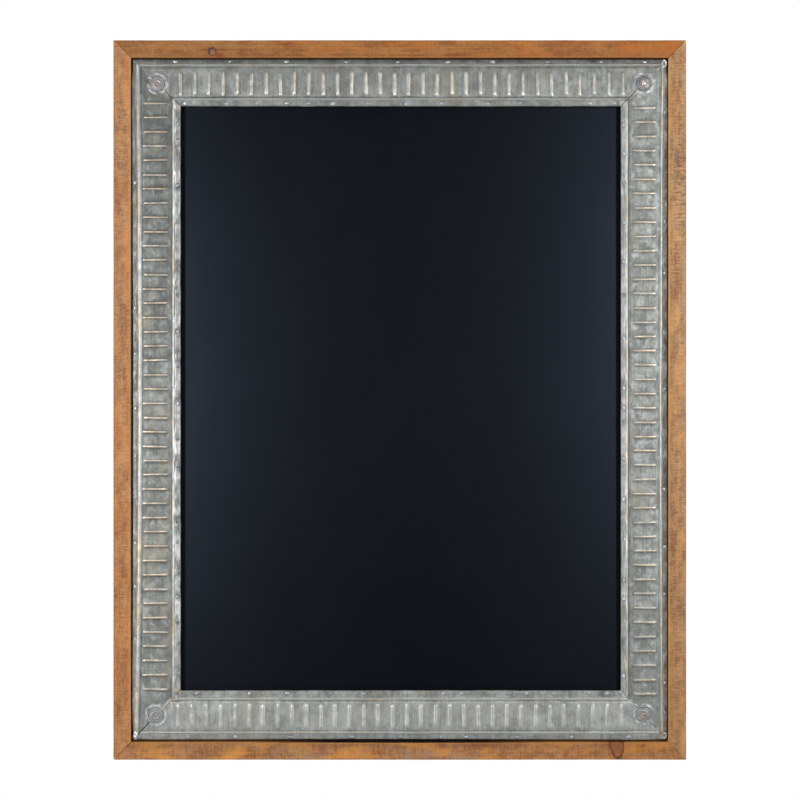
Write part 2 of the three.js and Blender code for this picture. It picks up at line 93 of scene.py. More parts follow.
# The frame's boxes of the strips reach out to the tops of their beads, this far in front of their faces.
BEAD_HEIGHT = 1.2 * MM
STRIP_WIDTH = LEFT_STRIP_HIGH.x - LEFT_STRIP_LOW.x
METAL_FACE = TOP_STRIP_LOW.y + BEAD_HEIGHT
OUTER_FOLD_DROP = TOP_STRIP_HIGH.y - METAL_FACE
INNER_FOLD_DROP = OUTER_FOLD_DROP - 0.45 * MM
SHEET_THICKNESS = 0.5 * MM
BORDER_CENTRE = Vector((0, 0, (TOP_STRIP_HIGH.z + BOTTOM_STRIP_LOW.z) / 2))
BORDER_WIDTH = -2 * LEFT_STRIP_LOW.x
BORDER_HEIGHT = TOP_STRIP_HIGH.z - BOTTOM_STRIP_LOW.z

RAIL_FACE = TOP_RAIL_HIGH.z - TOP_RAIL_LOW.z
RAIL_FRONT = TOP_RAIL_LOW.y
RAIL_LENGTH = TOP_RAIL_HIGH.x - TOP_RAIL_LOW.x
RAIL_HEIGHT = 2 * TOP_RAIL_HIGH.z
RAIL_BACK = TOP_RAIL_HIGH.y
RABBET_WIDTH = 8 * MM
RABBET_FLOOR = BACK_BOARD_LOW.y - 0.3 * MM

# How far from a side's middle the painted shade in the gap beside the pine starts to change,
# and where it has changed.
GAP_CHANGE_START = 0.11 * RAIL_LENGTH
GAP_CHANGE_END = 0.32 * RAIL_LENGTH

# Places on a metal strip, from its outer edge inwards, and its pressed ribs.
OUTER_CREASE_GAP = 2.3 * MM
INNER_CREASE_GAP = 2.2 * MM
INNER_BEAD_WIDTH = 3.4 * MM
OUTER_FOLD_RADIUS = 0.8 * MM
INNER_FOLD_RADIUS = 2.0 * MM
RIB_PITCH = 14.93 * MM
RIB_WIDTH = 5.0 * MM
RIB_SIZES = (0.85, 1.12)
OUTER_TACK = 2.4 * MM
INNER_TACK_INSET = 3.2 * MM
TACK_RADIUS = 1.75 * MM
CAP_RADIUS = 9.1 * MM
CAP_INSET = STRIP_WIDTH / 2
EAR_ACROSS = 2.6 * MM
EAR_UP = 4.2 * MM

# How far apart the sheet's points lie on its edge bands, over its beads and between them, and how many
# columns of them each mitred end has.
BAND_SPACING = 0.6 * MM
BEAD_SPACING = 0.38 * MM
FIELD_SPACING = 1.5 * MM
END_COLUMNS = 52

Side = namedtuple(
    "Side",
    "name along out length reach rail_length rail_reach rail_face width outer_bead inner_bead bead_width "
    "creases rib_start rib_end rib_rise rib_rub rib_warm flank_shade edge_shade slopes tones shade "
    "rib_shift bead_bow edge_bow outer_tacks inner_tacks seams",
)

# Flank_shade and edge_shade are painted shade on the ribs' flanks and on the inner fold.
# Clockwise from the front. Widths, beads and ribs differ a little from strip to strip, as on the real one.
# Creases say how dark the groove beside the outer and the inner bead is, with grime and painted shade.
# Rib_warm is where across a rib the zinc has worn warm, and how wide, as shares of rib_rub.
# Rib_shift moves the ribs along by shares of their pitch. Shade (1 or -1) is their side with more painted
# shade.
# Slopes say how steeply the outer and the inner band lean back from the beads.
# Tones brighten (above 0) and darken (below 0) the outer band, the outer bead, the inner bead and the inner
# band, with rubbed zinc and painted highlights, grime and painted shade; the top strip's outer band is
# darkened by the top rail's painted shadow.
# Bead_bow and edge_bow are how far the outer bead and the outer edge stand inwards at the strip's start,
# middle and end.
# Tack places are shares of the strip's outer and inner length.
SIDES = [
    Side(
        name="top", along=Vector((1, 0, 0)), out=Vector((0, 0, 1)),
        length=BORDER_WIDTH, reach=BORDER_HEIGHT / 2 + 0.8 * MM,
        rail_length=BOARD_HIGH.x * 2, rail_reach=BOARD_HIGH.z, rail_face=RAIL_FACE - 0.2 * MM,
        width=49.0 * MM, outer_bead=5.8 * MM, inner_bead=41.4 * MM, bead_width=3.3 * MM, creases=(0.65, 0.6),
        rib_start=12.8 * MM, rib_end=37.4 * MM, rib_rise=0.8 * MM, rib_rub=1.45 * MM, rib_warm=(0.8, 0.5),
        flank_shade=0.4, edge_shade=0.15,
        slopes=(0.1, 0.1), tones=(-0.6, 0.5, 0.5, -0.25), shade=1, rib_shift=0.14,
        bead_bow=(0.0, 0.0, 0.0), edge_bow=(0.0, 0.0, 0.0),
        outer_tacks=(0.078, 0.18, 0.286, 0.4, 0.496, 0.589, 0.675, 0.778, 0.879, 0.96),
        inner_tacks=(0.01, 0.104, 0.174, 0.242, 0.291, 0.348, 0.426, 0.513, 0.598, 0.7, 0.774, 0.859, 0.934,
                     0.99),
        seams=("top_left", "top_right"),
    ),
    Side(
        name="right", along=Vector((0, 0, -1)), out=Vector((1, 0, 0)),
        length=BORDER_HEIGHT, reach=BORDER_WIDTH / 2 + 0.45 * MM,
        rail_length=BOARD_HIGH.z * 2, rail_reach=BOARD_HIGH.x, rail_face=RAIL_FACE - 0.2 * MM,
        width=47.9 * MM, outer_bead=6.3 * MM, inner_bead=41.0 * MM, bead_width=3.6 * MM, creases=(0.25, 0.5),
        rib_start=11.6 * MM, rib_end=34.6 * MM, rib_rise=0.5 * MM, rib_rub=0.8 * MM, rib_warm=(0.2, 1.3),
        flank_shade=0.65, edge_shade=0.6,
        slopes=(0.06, 0.12), tones=(-0.75, 0.72, 0.68, 0.48), shade=1, rib_shift=0.11,
        bead_bow=(-2.0 * MM, -0.1 * MM, -1.4 * MM), edge_bow=(-1.1 * MM, -0.4 * MM, -0.9 * MM),
        outer_tacks=(0.076, 0.154, 0.238, 0.313, 0.401, 0.486, 0.559, 0.633, 0.717, 0.787, 0.873, 0.919,
                     0.963),
        inner_tacks=(0.029, 0.079, 0.129, 0.196, 0.263, 0.321, 0.395, 0.481, 0.515, 0.603, 0.672, 0.74,
                     0.811, 0.843, 0.909, 0.975),
        seams=("top_right", "bottom_right"),
    ),
    Side(
        name="bottom", along=Vector((-1, 0, 0)), out=Vector((0, 0, -1)),
        length=BORDER_WIDTH, reach=BORDER_HEIGHT / 2 + 1.1 * MM,
        rail_length=BOARD_HIGH.x * 2, rail_reach=BOARD_HIGH.z, rail_face=RAIL_FACE - 0.6 * MM,
        width=51.0 * MM, outer_bead=6.8 * MM, inner_bead=42.2 * MM, bead_width=2.8 * MM, creases=(0.4, 0.6),
        rib_start=11.4 * MM, rib_end=37.1 * MM, rib_rise=0.62 * MM, rib_rub=1.9 * MM, rib_warm=(0.9, 0.35),
        flank_shade=0.25, edge_shade=0.45,
        slopes=(0.1, 0.1), tones=(-0.15, 0.55, 0.5, -0.45), shade=-1, rib_shift=0.01,
        bead_bow=(0.0, 0.0, 0.0), edge_bow=(-0.9 * MM, 0.1 * MM, -0.6 * MM),
        outer_tacks=(0.07, 0.177, 0.28, 0.374, 0.424, 0.498, 0.591, 0.705, 0.808, 0.899),
        inner_tacks=(0.027, 0.068, 0.149, 0.211, 0.255, 0.359, 0.399, 0.486, 0.582, 0.659, 0.756, 0.842,
                     0.963),
        seams=("bottom_right", "bottom_left"),
    ),
    Side(
        name="left", along=Vector((0, 0, 1)), out=Vector((-1, 0, 0)),
        length=BORDER_HEIGHT, reach=BORDER_WIDTH / 2 + 0.7 * MM,
        rail_length=BOARD_HIGH.z * 2, rail_reach=BOARD_HIGH.x, rail_face=RAIL_FACE - 0.7 * MM,
        width=50.1 * MM, outer_bead=6.7 * MM, inner_bead=42.0 * MM, bead_width=5.4 * MM, creases=(0.35, 0.0),
        rib_start=11.3 * MM, rib_end=36.6 * MM, rib_rise=0.5 * MM, rib_rub=0.75 * MM, rib_warm=(0.2, 1.3),
        flank_shade=0.75, edge_shade=0.75,
        slopes=(0.12, 0.14), tones=(0.0, 0.72, 0.82, 0.82), shade=-1, rib_shift=0.22,
        bead_bow=(-2.9 * MM, 0.7 * MM, -2.0 * MM), edge_bow=(-0.9 * MM, 0.0, -1.4 * MM),
        outer_tacks=(0.072, 0.146, 0.223, 0.288, 0.355, 0.416, 0.487, 0.568, 0.634, 0.819),
        inner_tacks=(0.037, 0.081, 0.117, 0.161, 0.211, 0.256, 0.29, 0.385, 0.431, 0.492, 0.556, 0.617,
                     0.679, 0.739, 0.804, 0.867, 0.945, 0.971),
        seams=("bottom_left", "top_left"),
    ),
]

Seam = namedtuple("Seam", "gap grime polish warmth")
Corner = namedtuple(
    "Corner", "name across up inner outer lump ear glint wood_seam cap_shift nail worn cap_tone"
)

# Each metal mitre has an inner part, between the cap and the opening, and an outer one, out to the corner.
# Lump says how hard the corner was hammered. Ear gives the half width, half height and thickness of the
# sheet's ear that was bent over there. Glint is how bright the upright strip's inner band is near the
# corner.
# Wood_seam is half the gap in the pine mitre, and cap_shift how far the cap has slipped to one side.
# Nail is the radius of the nail's head, worn the place of the cap's worn patch, and the cap's tone is
# painted light that makes the cap paler or darker.
CORNERS = {
    "top_left": Corner(
        name="top_left", across=-1, up=1,
        inner=Seam(0.3 * MM, 0.8, 0.2, 0.2), outer=Seam(0.01 * MM, 0.1, 0.35, 0.0),
        lump=0.1, ear=None, glint=1.0, wood_seam=0.1 * MM,
        cap_shift=Vector((0.3 * MM, 0, 0.2 * MM)), nail=1.3 * MM, worn=(-0.12, 0.05), cap_tone=-0.1,
    ),
    "top_right": Corner(
        name="top_right", across=1, up=1,
        inner=Seam(0.45 * MM, 0.9, 0.5, 0.6), outer=Seam(0.02 * MM, 0.25, 0.4, 0.0),
        lump=1.0, ear=(1.9 * MM, 3.2 * MM, 0.9 * MM), glint=0.6, wood_seam=0.34 * MM,
        cap_shift=Vector((0.6 * MM, 0, 0.6 * MM)), nail=2.3 * MM, worn=(0.2, 0.0), cap_tone=-0.3,
    ),
    "bottom_right": Corner(
        name="bottom_right", across=1, up=-1,
        inner=Seam(0.15 * MM, 0.4, 1.0, 0.0), outer=Seam(0.3 * MM, 0.6, 0.6, 0.1),
        lump=0.9, ear=(2.2 * MM, 2.4 * MM, 0.6 * MM), glint=0.3, wood_seam=0.12 * MM,
        cap_shift=Vector((0.9 * MM, 0, 0.3 * MM)), nail=0.9 * MM, worn=(-0.12, -0.02), cap_tone=0.3,
    ),
    "bottom_left": Corner(
        name="bottom_left", across=-1, up=-1,
        inner=Seam(0.15 * MM, 0.5, 0.6, 0.9), outer=Seam(0.6 * MM, 1.0, 0.2, 0.2),
        lump=0.9, ear=(1.3 * MM, 2.3 * MM, 1.5 * MM), glint=0.5, wood_seam=0.34 * MM,
        cap_shift=Vector((-1.3 * MM, 0, -0.8 * MM)), nail=1.1 * MM, worn=(0.0, -0.1), cap_tone=0.34,
    ),
}


# Small helpers for meshes.

def finish_piece(name, bm, body, material, smooth_angle, replaces=()):
    """Turns a bmesh into a piece that rides on a body and takes its finish from a slot."""
    mesh = bpy.data.meshes.new(name)
    bm.to_mesh(mesh)
    bm.free()
    piece = bpy.data.objects.new(name, mesh)
    bpy.context.scene.collection.objects.link(piece)
    mesh.materials.append(material)
    mesh.shade_smooth()
    mesh.set_sharp_from_angle(angle=math.radians(smooth_angle))
    if not mesh.polygons:
        raise RuntimeError(f"{name} came out empty")
    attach(piece, body)
    if replaces:
        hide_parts(*replaces)
    return piece


def turned_solid(bm, profile, steps):
    """Spins a profile of (radius, height) points round Z and returns its new vertices."""
    before = set(bm.verts)
    verts = [bm.verts.new((radius, 0, height)) for radius, height in profile]
    edges = [bm.edges.new(pair) for pair in zip(verts, verts[1:])]
    bmesh.ops.spin(
        bm, geom=verts + edges, cent=(0, 0, 0), axis=(0, 0, 1), angle=FULL_TURN, steps=steps, use_merge=True
    )
    bmesh.ops.remove_doubles(bm, verts=[v for v in bm.verts if v not in before], dist=0.002 * MM)
    made = [v for v in bm.verts if v not in before]
    faces = list(dict.fromkeys(face for vert in made for face in vert.link_faces))
    bmesh.ops.recalc_face_normals(bm, faces=faces)
    return made


def extruded(section):
    """A flat face of (across, depth) points drawn out along X: its bmesh, and the points of its far end."""
    bm = bmesh.new()
    face = bm.faces.new([bm.verts.new((0, across, depth)) for across, depth in section])
    made = bmesh.ops.extrude_face_region(bm, geom=[face])
    return bm, set(only(made["geom"], BMVert))


def only(items, kind):
    return [item for item in items if isinstance(item, kind)]


def lengthwise(bm, least):
    """The edges that run along X for more than a length."""
    return [edge for edge in bm.edges if abs(edge.verts[0].co.x - edge.verts[1].co.x) > least]


def edges_of(verts):
    """The edges at some points, each one once and always in the same order."""
    return list(dict.fromkeys(edge for vert in verts for edge in vert.link_edges))


def round_edges(bm, edges, radius, segments):
    bmesh.ops.bevel(
        bm, geom=edges, offset=radius, segments=segments, profile=0.5, affect="EDGES", material=-1
    )


def lay_along(bm, side, centre, reach):
    """Moves points of (along, across, depth) to their places on a side of the frame."""
    for vert in bm.verts:
        along, across, depth = vert.co
        spot = centre + side.along * along + side.out * (reach - across)
        vert.co = Vector((spot.x, depth, spot.z))
    bmesh.ops.recalc_face_normals(bm, faces=bm.faces)


def ease(value):
    """Smooth step from 0 to 1."""
    value = min(max(value, 0.0), 1.0)
    return value * value * (3 - 2 * value)


def hump(distance, half_width):
    """A rounded ridge, 1 at its crest and 0 from half_width outwards."""
    share = abs(distance) / half_width
    return 0.0 if share >= 1 else 0.5 + 0.5 * math.cos(HALF_TURN * share)


def bell(distance, spread):
    """A soft peak, 1 at no distance and close to 0 from twice its spread outwards."""
    return math.exp(-((distance / spread) ** 2))


def noise_push(point):
    """Smooth noise as a push in three directions. The module's own vector noise differs from run to run."""
    return Vector([noise.noise(point + Vector((shift, 0, 0))) for shift in (0.0, 31.7, 67.3)])


# Small helpers for materials.

def colour(rgb):
    return (rgb[0], rgb[1], rgb[2], 1)


def tinted(rgb, tint):
    return colour([channel * share for channel, share in zip(rgb, tint)])


def fill_inputs(tree, node, inputs):
    """Gives a node's inputs their values or links."""
    for name, value in inputs.items():
        socket = node.inputs[name]
        if isinstance(value, bpy.types.NodeSocket):
            tree.links.new(value, socket)
        else:
            socket.default_value = value


def add_node(tree, kind, inputs=None, **settings):
    """Adds a node, sets it up, and gives its inputs values or links."""
    node = tree.nodes.new(kind)
    for name, value in settings.items():
        setattr(node, name, value)
    fill_inputs(tree, node, inputs or {})
    return node


def maths(tree, operation, first, second=0.0, clamp=False):
    return add_node(
        tree, "ShaderNodeMath", {0: first, 1: second}, operation=operation, use_clamp=clamp
    ).outputs[0]


def plus(tree, base, value, share):
    """A base and a share of a value."""
    return maths(tree, "ADD", base, maths(tree, "MULTIPLY", value, share))


def centred(tree, value):
    """A noise from 0 to 1 as a push up or down."""
    return maths(tree, "SUBTRACT", value, 0.5)


def vector_maths(tree, operation, *vectors):
    return add_node(tree, "ShaderNodeVectorMath", dict(enumerate(vectors)), operation=operation).outputs


def axes(tree, vector):
    return add_node(tree, "ShaderNodeSeparateXYZ", {"Vector": vector}).outputs


def ranged(tree, value, low, high, to_low=0.0, to_high=1.0):
    """Eases a value from one range into another."""
    return add_node(
        tree, "ShaderNodeMapRange",
        {"Value": value, "From Min": low, "From Max": high, "To Min": to_low, "To Max": to_high},
        interpolation_type="SMOOTHSTEP",
    ).outputs[0]


def blend(tree, factor, first, second, mode="MIX"):
    return add_node(
        tree, "ShaderNodeMix", {0: factor, 6: first, 7: second}, data_type="RGBA", blend_type=mode
    ).outputs[2]


def grain_noise(tree, vector, scale, detail=3.0, roughness=0.55, distortion=0.0):
    """Noise whose scale may differ along X, Y and Z."""
    if isinstance(scale, tuple):
        vector = vector_maths(tree, "MULTIPLY", vector, scale)[0]
        scale = 1.0
    return add_node(
        tree, "ShaderNodeTexNoise",
        {"Vector": vector, "Scale": scale, "Detail": detail, "Roughness": roughness,
         "Distortion": distortion},
    ).outputs[0]


def wobbled(tree, vector, scale, amount):
    """Coordinates pushed about by noise, for irregular outlines."""
    noisy = add_node(tree, "ShaderNodeTexNoise", {"Vector": vector, "Scale": scale, "Detail": 2.0})
    push = noisy.outputs["Color"]
    return vector_maths(tree, "MULTIPLY_ADD", push, (amount, amount, amount), vector)[0]


def attribute(tree, name):
    return add_node(tree, "ShaderNodeAttribute", attribute_name=name).outputs["Fac"]


def sockets(kind, *labels):
    """Named sockets of one kind, for a node group."""
    return [(label, f"NodeSocket{kind}") for label in labels]


def new_group(name, inputs, outputs):
    """An empty node group with named sockets: returns its tree, its inputs and its output node."""
    group = bpy.data.node_groups.new(name, "ShaderNodeTree")
    for in_out, items in (("INPUT", inputs), ("OUTPUT", outputs)):
        for label, kind in items:
            group.interface.new_socket(label, in_out=in_out, socket_type=kind)
    return group, group.nodes.new("NodeGroupInput").outputs, group.nodes.new("NodeGroupOutput")


def place_group(tree, name, inputs):
    """Places a shared node group in a material, with this material's own values."""
    node = tree.nodes.new("ShaderNodeGroup")
    node.node_tree = bpy.data.node_groups[name]
    fill_inputs(tree, node, inputs)
    return node.outputs


def new_material(name, **constants):
    """A material with a bare Principled shader; constants sit on the shader's own sockets."""
    material = bpy.data.materials.new(name)
    material.use_nodes = True
    tree = material.node_tree
    shader = tree.nodes["Principled BSDF"]
    for label, value in constants.items():
        shader.inputs[label.replace("_", " ").title().replace("Ior", "IOR")].default_value = value
    return material, tree, shader


def object_point(tree, turn=(0, 0, 0), shift=(0, 0, 0)):
    """Object coordinates, turned and shifted so that X runs along the piece."""
    coords = add_node(tree, "ShaderNodeTexCoord").outputs["Object"]
    return add_node(
        tree, "ShaderNodeMapping", {"Vector": coords, "Rotation": turn, "Location": shift}
    ).outputs[0]


def bump(tree, shader, height, distance, strength):
    node = add_node(tree, "ShaderNodeBump", {"Height": height, "Distance": distance, "Strength": strength})
    tree.links.new(node.outputs[0], shader.inputs["Normal"])


# Node groups that several finishes share.

def make_grain_group():
    """Rough-sawn, stained pine with its grain along X: colour, roughness and height."""
    tree, given, out = new_group(
        "pine_grain",
        sockets("Vector", "Vector")
        + sockets("Color", "Light", "Dark", "Glow", "Grey", "Mark")
        + sockets("Float", "Across", "Glow Amount", "Grey Amount", "Saw Marks", "Streaks", "Hatch"),
        sockets("Color", "Color") + sockets("Float", "Roughness", "Height"),
    )
    point = given["Vector"]
    blotch = grain_noise(tree, point, (32, 85, 85), detail=5, roughness=0.68)
    streak = grain_noise(tree, point, (9, 420, 420), detail=4, roughness=0.6)
    grit = grain_noise(tree, point, (430, 620, 620), detail=4, roughness=0.75)
    hatch = grain_noise(tree, wobbled(tree, point, 120.0, 0.002), (760, 95, 95), detail=2)
    tone = maths(tree, "MULTIPLY", centred(tree, blotch), 0.4)
    tone = plus(tree, tone, centred(tree, streak), given["Streaks"])
    tone = plus(tree, tone, centred(tree, hatch), given["Hatch"])
    tone = plus(tree, tone, centred(tree, grit), 0.32)
    colour = blend(tree, ranged(tree, tone, -0.09, 0.085), given["Dark"], given["Light"])
    patch = grain_noise(tree, point, (24, 75, 75), detail=4, roughness=0.62)
    glow = maths(tree, "MULTIPLY", ranged(tree, patch, 0.47, 0.62), given["Glow Amount"])
    colour = blend(tree, glow, colour, given["Glow"])
    dull = grain_noise(tree, point, (48, 120, 120), detail=5, roughness=0.7)
    edge = ranged(tree, given["Across"], 0.0, 0.45, 0.05, 0.0)
    dull = ranged(tree, maths(tree, "ADD", dull, edge), 0.48, 0.7)
    colour = blend(tree, maths(tree, "MULTIPLY", dull, given["Grey Amount"]), colour, given["Grey"])
    dash = ranged(tree, grain_noise(tree, point, (560, 110, 110), detail=3), 0.32, 0.45, 0.88, 1.0)
    colour = blend(tree, 1.0, colour, dash, "MULTIPLY")
    saw = grain_noise(tree, wobbled(tree, point, 150.0, 0.003), (330, 105, 105), detail=3, roughness=0.65)
    marks = maths(tree, "MULTIPLY", ranged(tree, saw, 0.5, 0.62), given["Saw Marks"])
    colour = blend(tree, marks, colour, given["Mark"])
    outer_edge = ranged(tree, given["Across"], 0.0, 0.07, 0.45, 0.0)
    colour = blend(tree, outer_edge, colour, given["Dark"])
    # The inner arris is lighter: worn wood and a painted highlight.
    inner_edge_wear_and_highlight = ranged(tree, given["Across"], 0.86, 0.96, 0.0, 0.45)
    colour = blend(tree, inner_edge_wear_and_highlight, colour, blend(tree, 0.4, given["Light"], given["Glow"]))
    tree.links.new(colour, out.inputs["Color"])
    tree.links.new(ranged(tree, streak, 0.3, 0.7, 0.66, 0.5), out.inputs["Roughness"])
    height = plus(tree, maths(tree, "MULTIPLY", streak, 0.3), grit, 0.4)
    height = maths(tree, "SUBTRACT", height, maths(tree, "MULTIPLY", marks, 0.3))
    tree.links.new(height, out.inputs["Height"])


def make_knot_group():
    """A knot in wood: its heart, dark outline and the stained halo round it."""
    tree, given, out = new_group(
        "wood_knot",
        sockets("Vector", "Vector", "Centre", "Reach") + sockets("Float", "Taper", "Lean", "Ragged"),
        sockets("Float", "Heart", "Outline", "Halo"),
    )
    offset = vector_maths(tree, "SUBTRACT", given["Vector"], given["Centre"])[0]
    parts = axes(tree, vector_maths(tree, "DIVIDE", offset, given["Reach"])[0])
    spread = maths(tree, "SUBTRACT", 1.0, maths(tree, "MULTIPLY", given["Taper"], parts["Z"]))
    wide = maths(tree, "SUBTRACT", parts["X"], maths(tree, "MULTIPLY", given["Lean"], parts["Z"]))
    wide = maths(tree, "MULTIPLY", wide, spread)
    flat = add_node(tree, "ShaderNodeCombineXYZ", {"X": wide, "Z": parts["Z"]}).outputs[0]
    far = vector_maths(tree, "LENGTH", flat)["Value"]
    rough = grain_noise(tree, given["Vector"], 520.0, detail=4)
    far = plus(tree, far, centred(tree, rough), given["Ragged"])
    tree.links.new(ranged(tree, far, 0.8, 1.02, 1.0, 0.0), out.inputs["Heart"])
    inside = ranged(tree, far, 0.66, 0.92)
    outside = ranged(tree, far, 1.0, 1.16, 1.0, 0.0)
    tree.links.new(maths(tree, "MULTIPLY", inside, outside), out.inputs["Outline"])
    tree.links.new(ranged(tree, far, 1.0, 2.3, 1.0, 0.0), out.inputs["Halo"])


def make_zinc_group():
    """Weathered zinc, its length along X: clouds, pale spangles, stains, grime and painted shade in creases,
    rubbed crests with painted highlights.
    """
    tree, given, out = new_group(
        "weathered_zinc",
        sockets("Vector", "Vector")
        + sockets("Color", "Base", "Shade", "Pale", "Stain", "Crest", "Warm Crest", "Dirt")
        + sockets("Float", "Polish", "Warmth", "Paint", "Grime", "Spangles", "Gloss"),
        sockets("Color", "Color") + sockets("Float", "Roughness", "Metallic", "Height"),
    )
    point = given["Vector"]
    wide = grain_noise(tree, point, 42.0, detail=3, roughness=0.6)
    cloud = grain_noise(tree, point, (120, 150, 150), detail=5, roughness=0.68, distortion=0.5)
    brushed = grain_noise(tree, point, (26, 850, 850), detail=3)
    fine = grain_noise(tree, point, 1300.0, detail=3)
    tone = plus(tree, maths(tree, "MULTIPLY", wide, 0.32), cloud, 0.38)
    tone = plus(tree, tone, brushed, 0.3)
    colour = blend(tree, ranged(tree, tone, 0.38, 0.62), given["Shade"], given["Base"])
    pattern = {"Vector": wobbled(tree, point, 160.0, 0.009), "Scale": 170.0, "Smoothness": 0.5}
    cells = add_node(tree, "ShaderNodeTexVoronoi", pattern, feature="SMOOTH_F1").outputs["Color"]
    spangle = maths(tree, "MULTIPLY", ranged(tree, cells, 0.48, 0.75), ranged(tree, cloud, 0.38, 0.62))
    colour = blend(tree, maths(tree, "MULTIPLY", spangle, given["Spangles"]), colour, given["Pale"])
    stain = ranged(tree, grain_noise(tree, point, (20, 45, 45), detail=4), 0.54, 0.72, 0.0, 0.55)
    colour = blend(tree, stain, colour, given["Stain"])
    colour = blend(tree, 1.0, colour, ranged(tree, fine, 0.3, 0.7, 0.9, 1.1), "MULTIPLY")
    grime = maths(tree, "MULTIPLY", given["Grime"], ranged(tree, cloud, 0.3, 0.6, 1.15, 0.8), clamp=True)
    colour = blend(tree, grime, colour, given["Dirt"])
    polish = maths(tree, "MULTIPLY", given["Polish"], ranged(tree, cloud, 0.35, 0.6, 1.0, 0.6), clamp=True)
    crest = blend(tree, given["Warmth"], given["Crest"], given["Warm Crest"])
    colour = blend(tree, polish, colour, crest)
    colour = blend(tree, given["Paint"], colour, (0.002, 0.002, 0.0022, 1))
    tree.links.new(colour, out.inputs["Color"])
    rough = maths(tree, "ADD", given["Gloss"], ranged(tree, cloud, 0.35, 0.65, 0.05, -0.05))
    rough = plus(tree, rough, grime, 0.12)
    rough = maths(tree, "SUBTRACT", rough, maths(tree, "MULTIPLY", polish, 0.13))
    rough = plus(tree, rough, given["Paint"], 0.3)
    tree.links.new(rough, out.inputs["Roughness"])
    shine = plus(tree, 0.7, polish, 0.2)
    shine = maths(tree, "SUBTRACT", shine, maths(tree, "MULTIPLY", grime, 0.3))
    shine = maths(tree, "MULTIPLY", shine, maths(tree, "SUBTRACT", 1.0, given["Paint"]))
    tree.links.new(shine, out.inputs["Metallic"])
    height = plus(tree, maths(tree, "MULTIPLY", cloud, 0.7), fine, 0.1)
    tree.links.new(plus(tree, height, brushed, 0.06), out.inputs["Height"])


def make_wear_group():
    """Plain worn metal for tacks, screws, rings and points: stains and fine scratches."""
    tree, given, out = new_group(
        "worn_steel",
        sockets("Vector", "Vector")
        + sockets("Color", "Metal", "Stain")
        + sockets("Float", "Stains", "Gloss"),
        sockets("Color", "Color") + sockets("Float", "Roughness", "Height"),
    )
    point = given["Vector"]
    cloud = grain_noise(tree, point, 420.0, detail=4, roughness=0.65)
    scratch = grain_noise(tree, point, (2600, 700, 260), detail=2)
    stain = maths(tree, "MULTIPLY", ranged(tree, cloud, 0.42, 0.66), given["Stains"])
    colour = blend(tree, stain, given["Metal"], given["Stain"])
    tree.links.new(colour, out.inputs["Color"])
    rough = plus(tree, given["Gloss"], stain, 0.3)
    rough = maths(tree, "ADD", rough, ranged(tree, scratch, 0.4, 0.7, 0.0, 0.1))
    tree.links.new(rough, out.inputs["Roughness"])
    tree.links.new(plus(tree, cloud, scratch, 0.3), out.inputs["Height"])


# Finishes.

RailTone = namedtuple(
    "RailTone", "tint deep glow_colour glow grey mark streaks hatch shift start end edges wall"
)

# Tint is for a rail's whole stain, and deep for its dark grain alone. Start and end tint its lower or left
# end and its other end. Edges are painted light and shade on its outer and its inner edge. Wall is painted
# shade (below 1) and light (above 1) on its side towards the metal, in the middle and at the ends.
RAIL_TONES = {
    "top": RailTone(
        tint=(0.76, 0.6, 0.37), deep=(1.15, 1.05, 0.85), glow_colour=(0.51, 0.168, 0.03), glow=0.7, grey=0.4,
        mark=(0.2, 0.15, 0.12), streaks=0.24, hatch=0.12, shift=(0.31, 0.0, 0.07),
        start=(0.98, 1.08, 1.2), end=(1.04, 0.98, 0.82), edges=(1.02, 0.9), wall=(0.45, 0.45),
    ),
    "right": RailTone(
        tint=(0.91, 0.95, 0.96), deep=(1, 1, 1), glow_colour=(0.74, 0.38, 0.12), glow=0.4, grey=0.5,
        mark=(0.15, 0.09, 0.06), streaks=0.1, hatch=0.3, shift=(1.7, 0.2, 0.4),
        start=(0.89, 0.84, 0.78), end=(1.09, 1.11, 1.11), edges=(1.13, 0.9), wall=(1.7, 1.7),
    ),
    "bottom": RailTone(
        tint=(0.84, 0.74, 0.6), deep=(1.05, 1.0, 0.9), glow_colour=(0.74, 0.3, 0.045), glow=0.55, grey=0.6,
        mark=(0.27, 0.22, 0.17), streaks=0.1, hatch=0.24, shift=(2.9, 0.5, 0.9),
        start=(1.0, 1.03, 1.08), end=(0.96, 0.93, 0.92), edges=(1.1, 0.82), wall=(0.12, 1.6),
    ),
    "left": RailTone(
        tint=(0.98, 0.96, 0.92), deep=(1, 1, 1), glow_colour=(0.7, 0.27, 0.07), glow=0.4, grey=0.35,
        mark=(0.2, 0.12, 0.08), streaks=0.1, hatch=0.26, shift=(4.3, 0.8, 0.2),
        start=(0.97, 0.87, 0.72), end=(1.02, 1.03, 1.05), edges=(0.92, 1.05), wall=(1.0, 1.0),
    ),
}

ZincTone = namedtuple("ZincTone", "spangles lift low high")

# A strip's lift, low and high are painted light: how bright its zinc is as a whole, and at its lower and
# its upper end.
ZINC_TONES = {
    "top": ZincTone(0.22, 1.05, 1.0, 1.0),
    "right": ZincTone(0.4, 0.97, 0.97, 1.0),
    "bottom": ZincTone(0.3, 1.41, 1.0, 1.0),
    "left": ZincTone(0.22, 0.72, 1.2, 0.86),
}

Knot = namedtuple(
    "Knot", "across up reach_x reach_z taper lean ragged heart outline halo kind", defaults=["sound"]
)

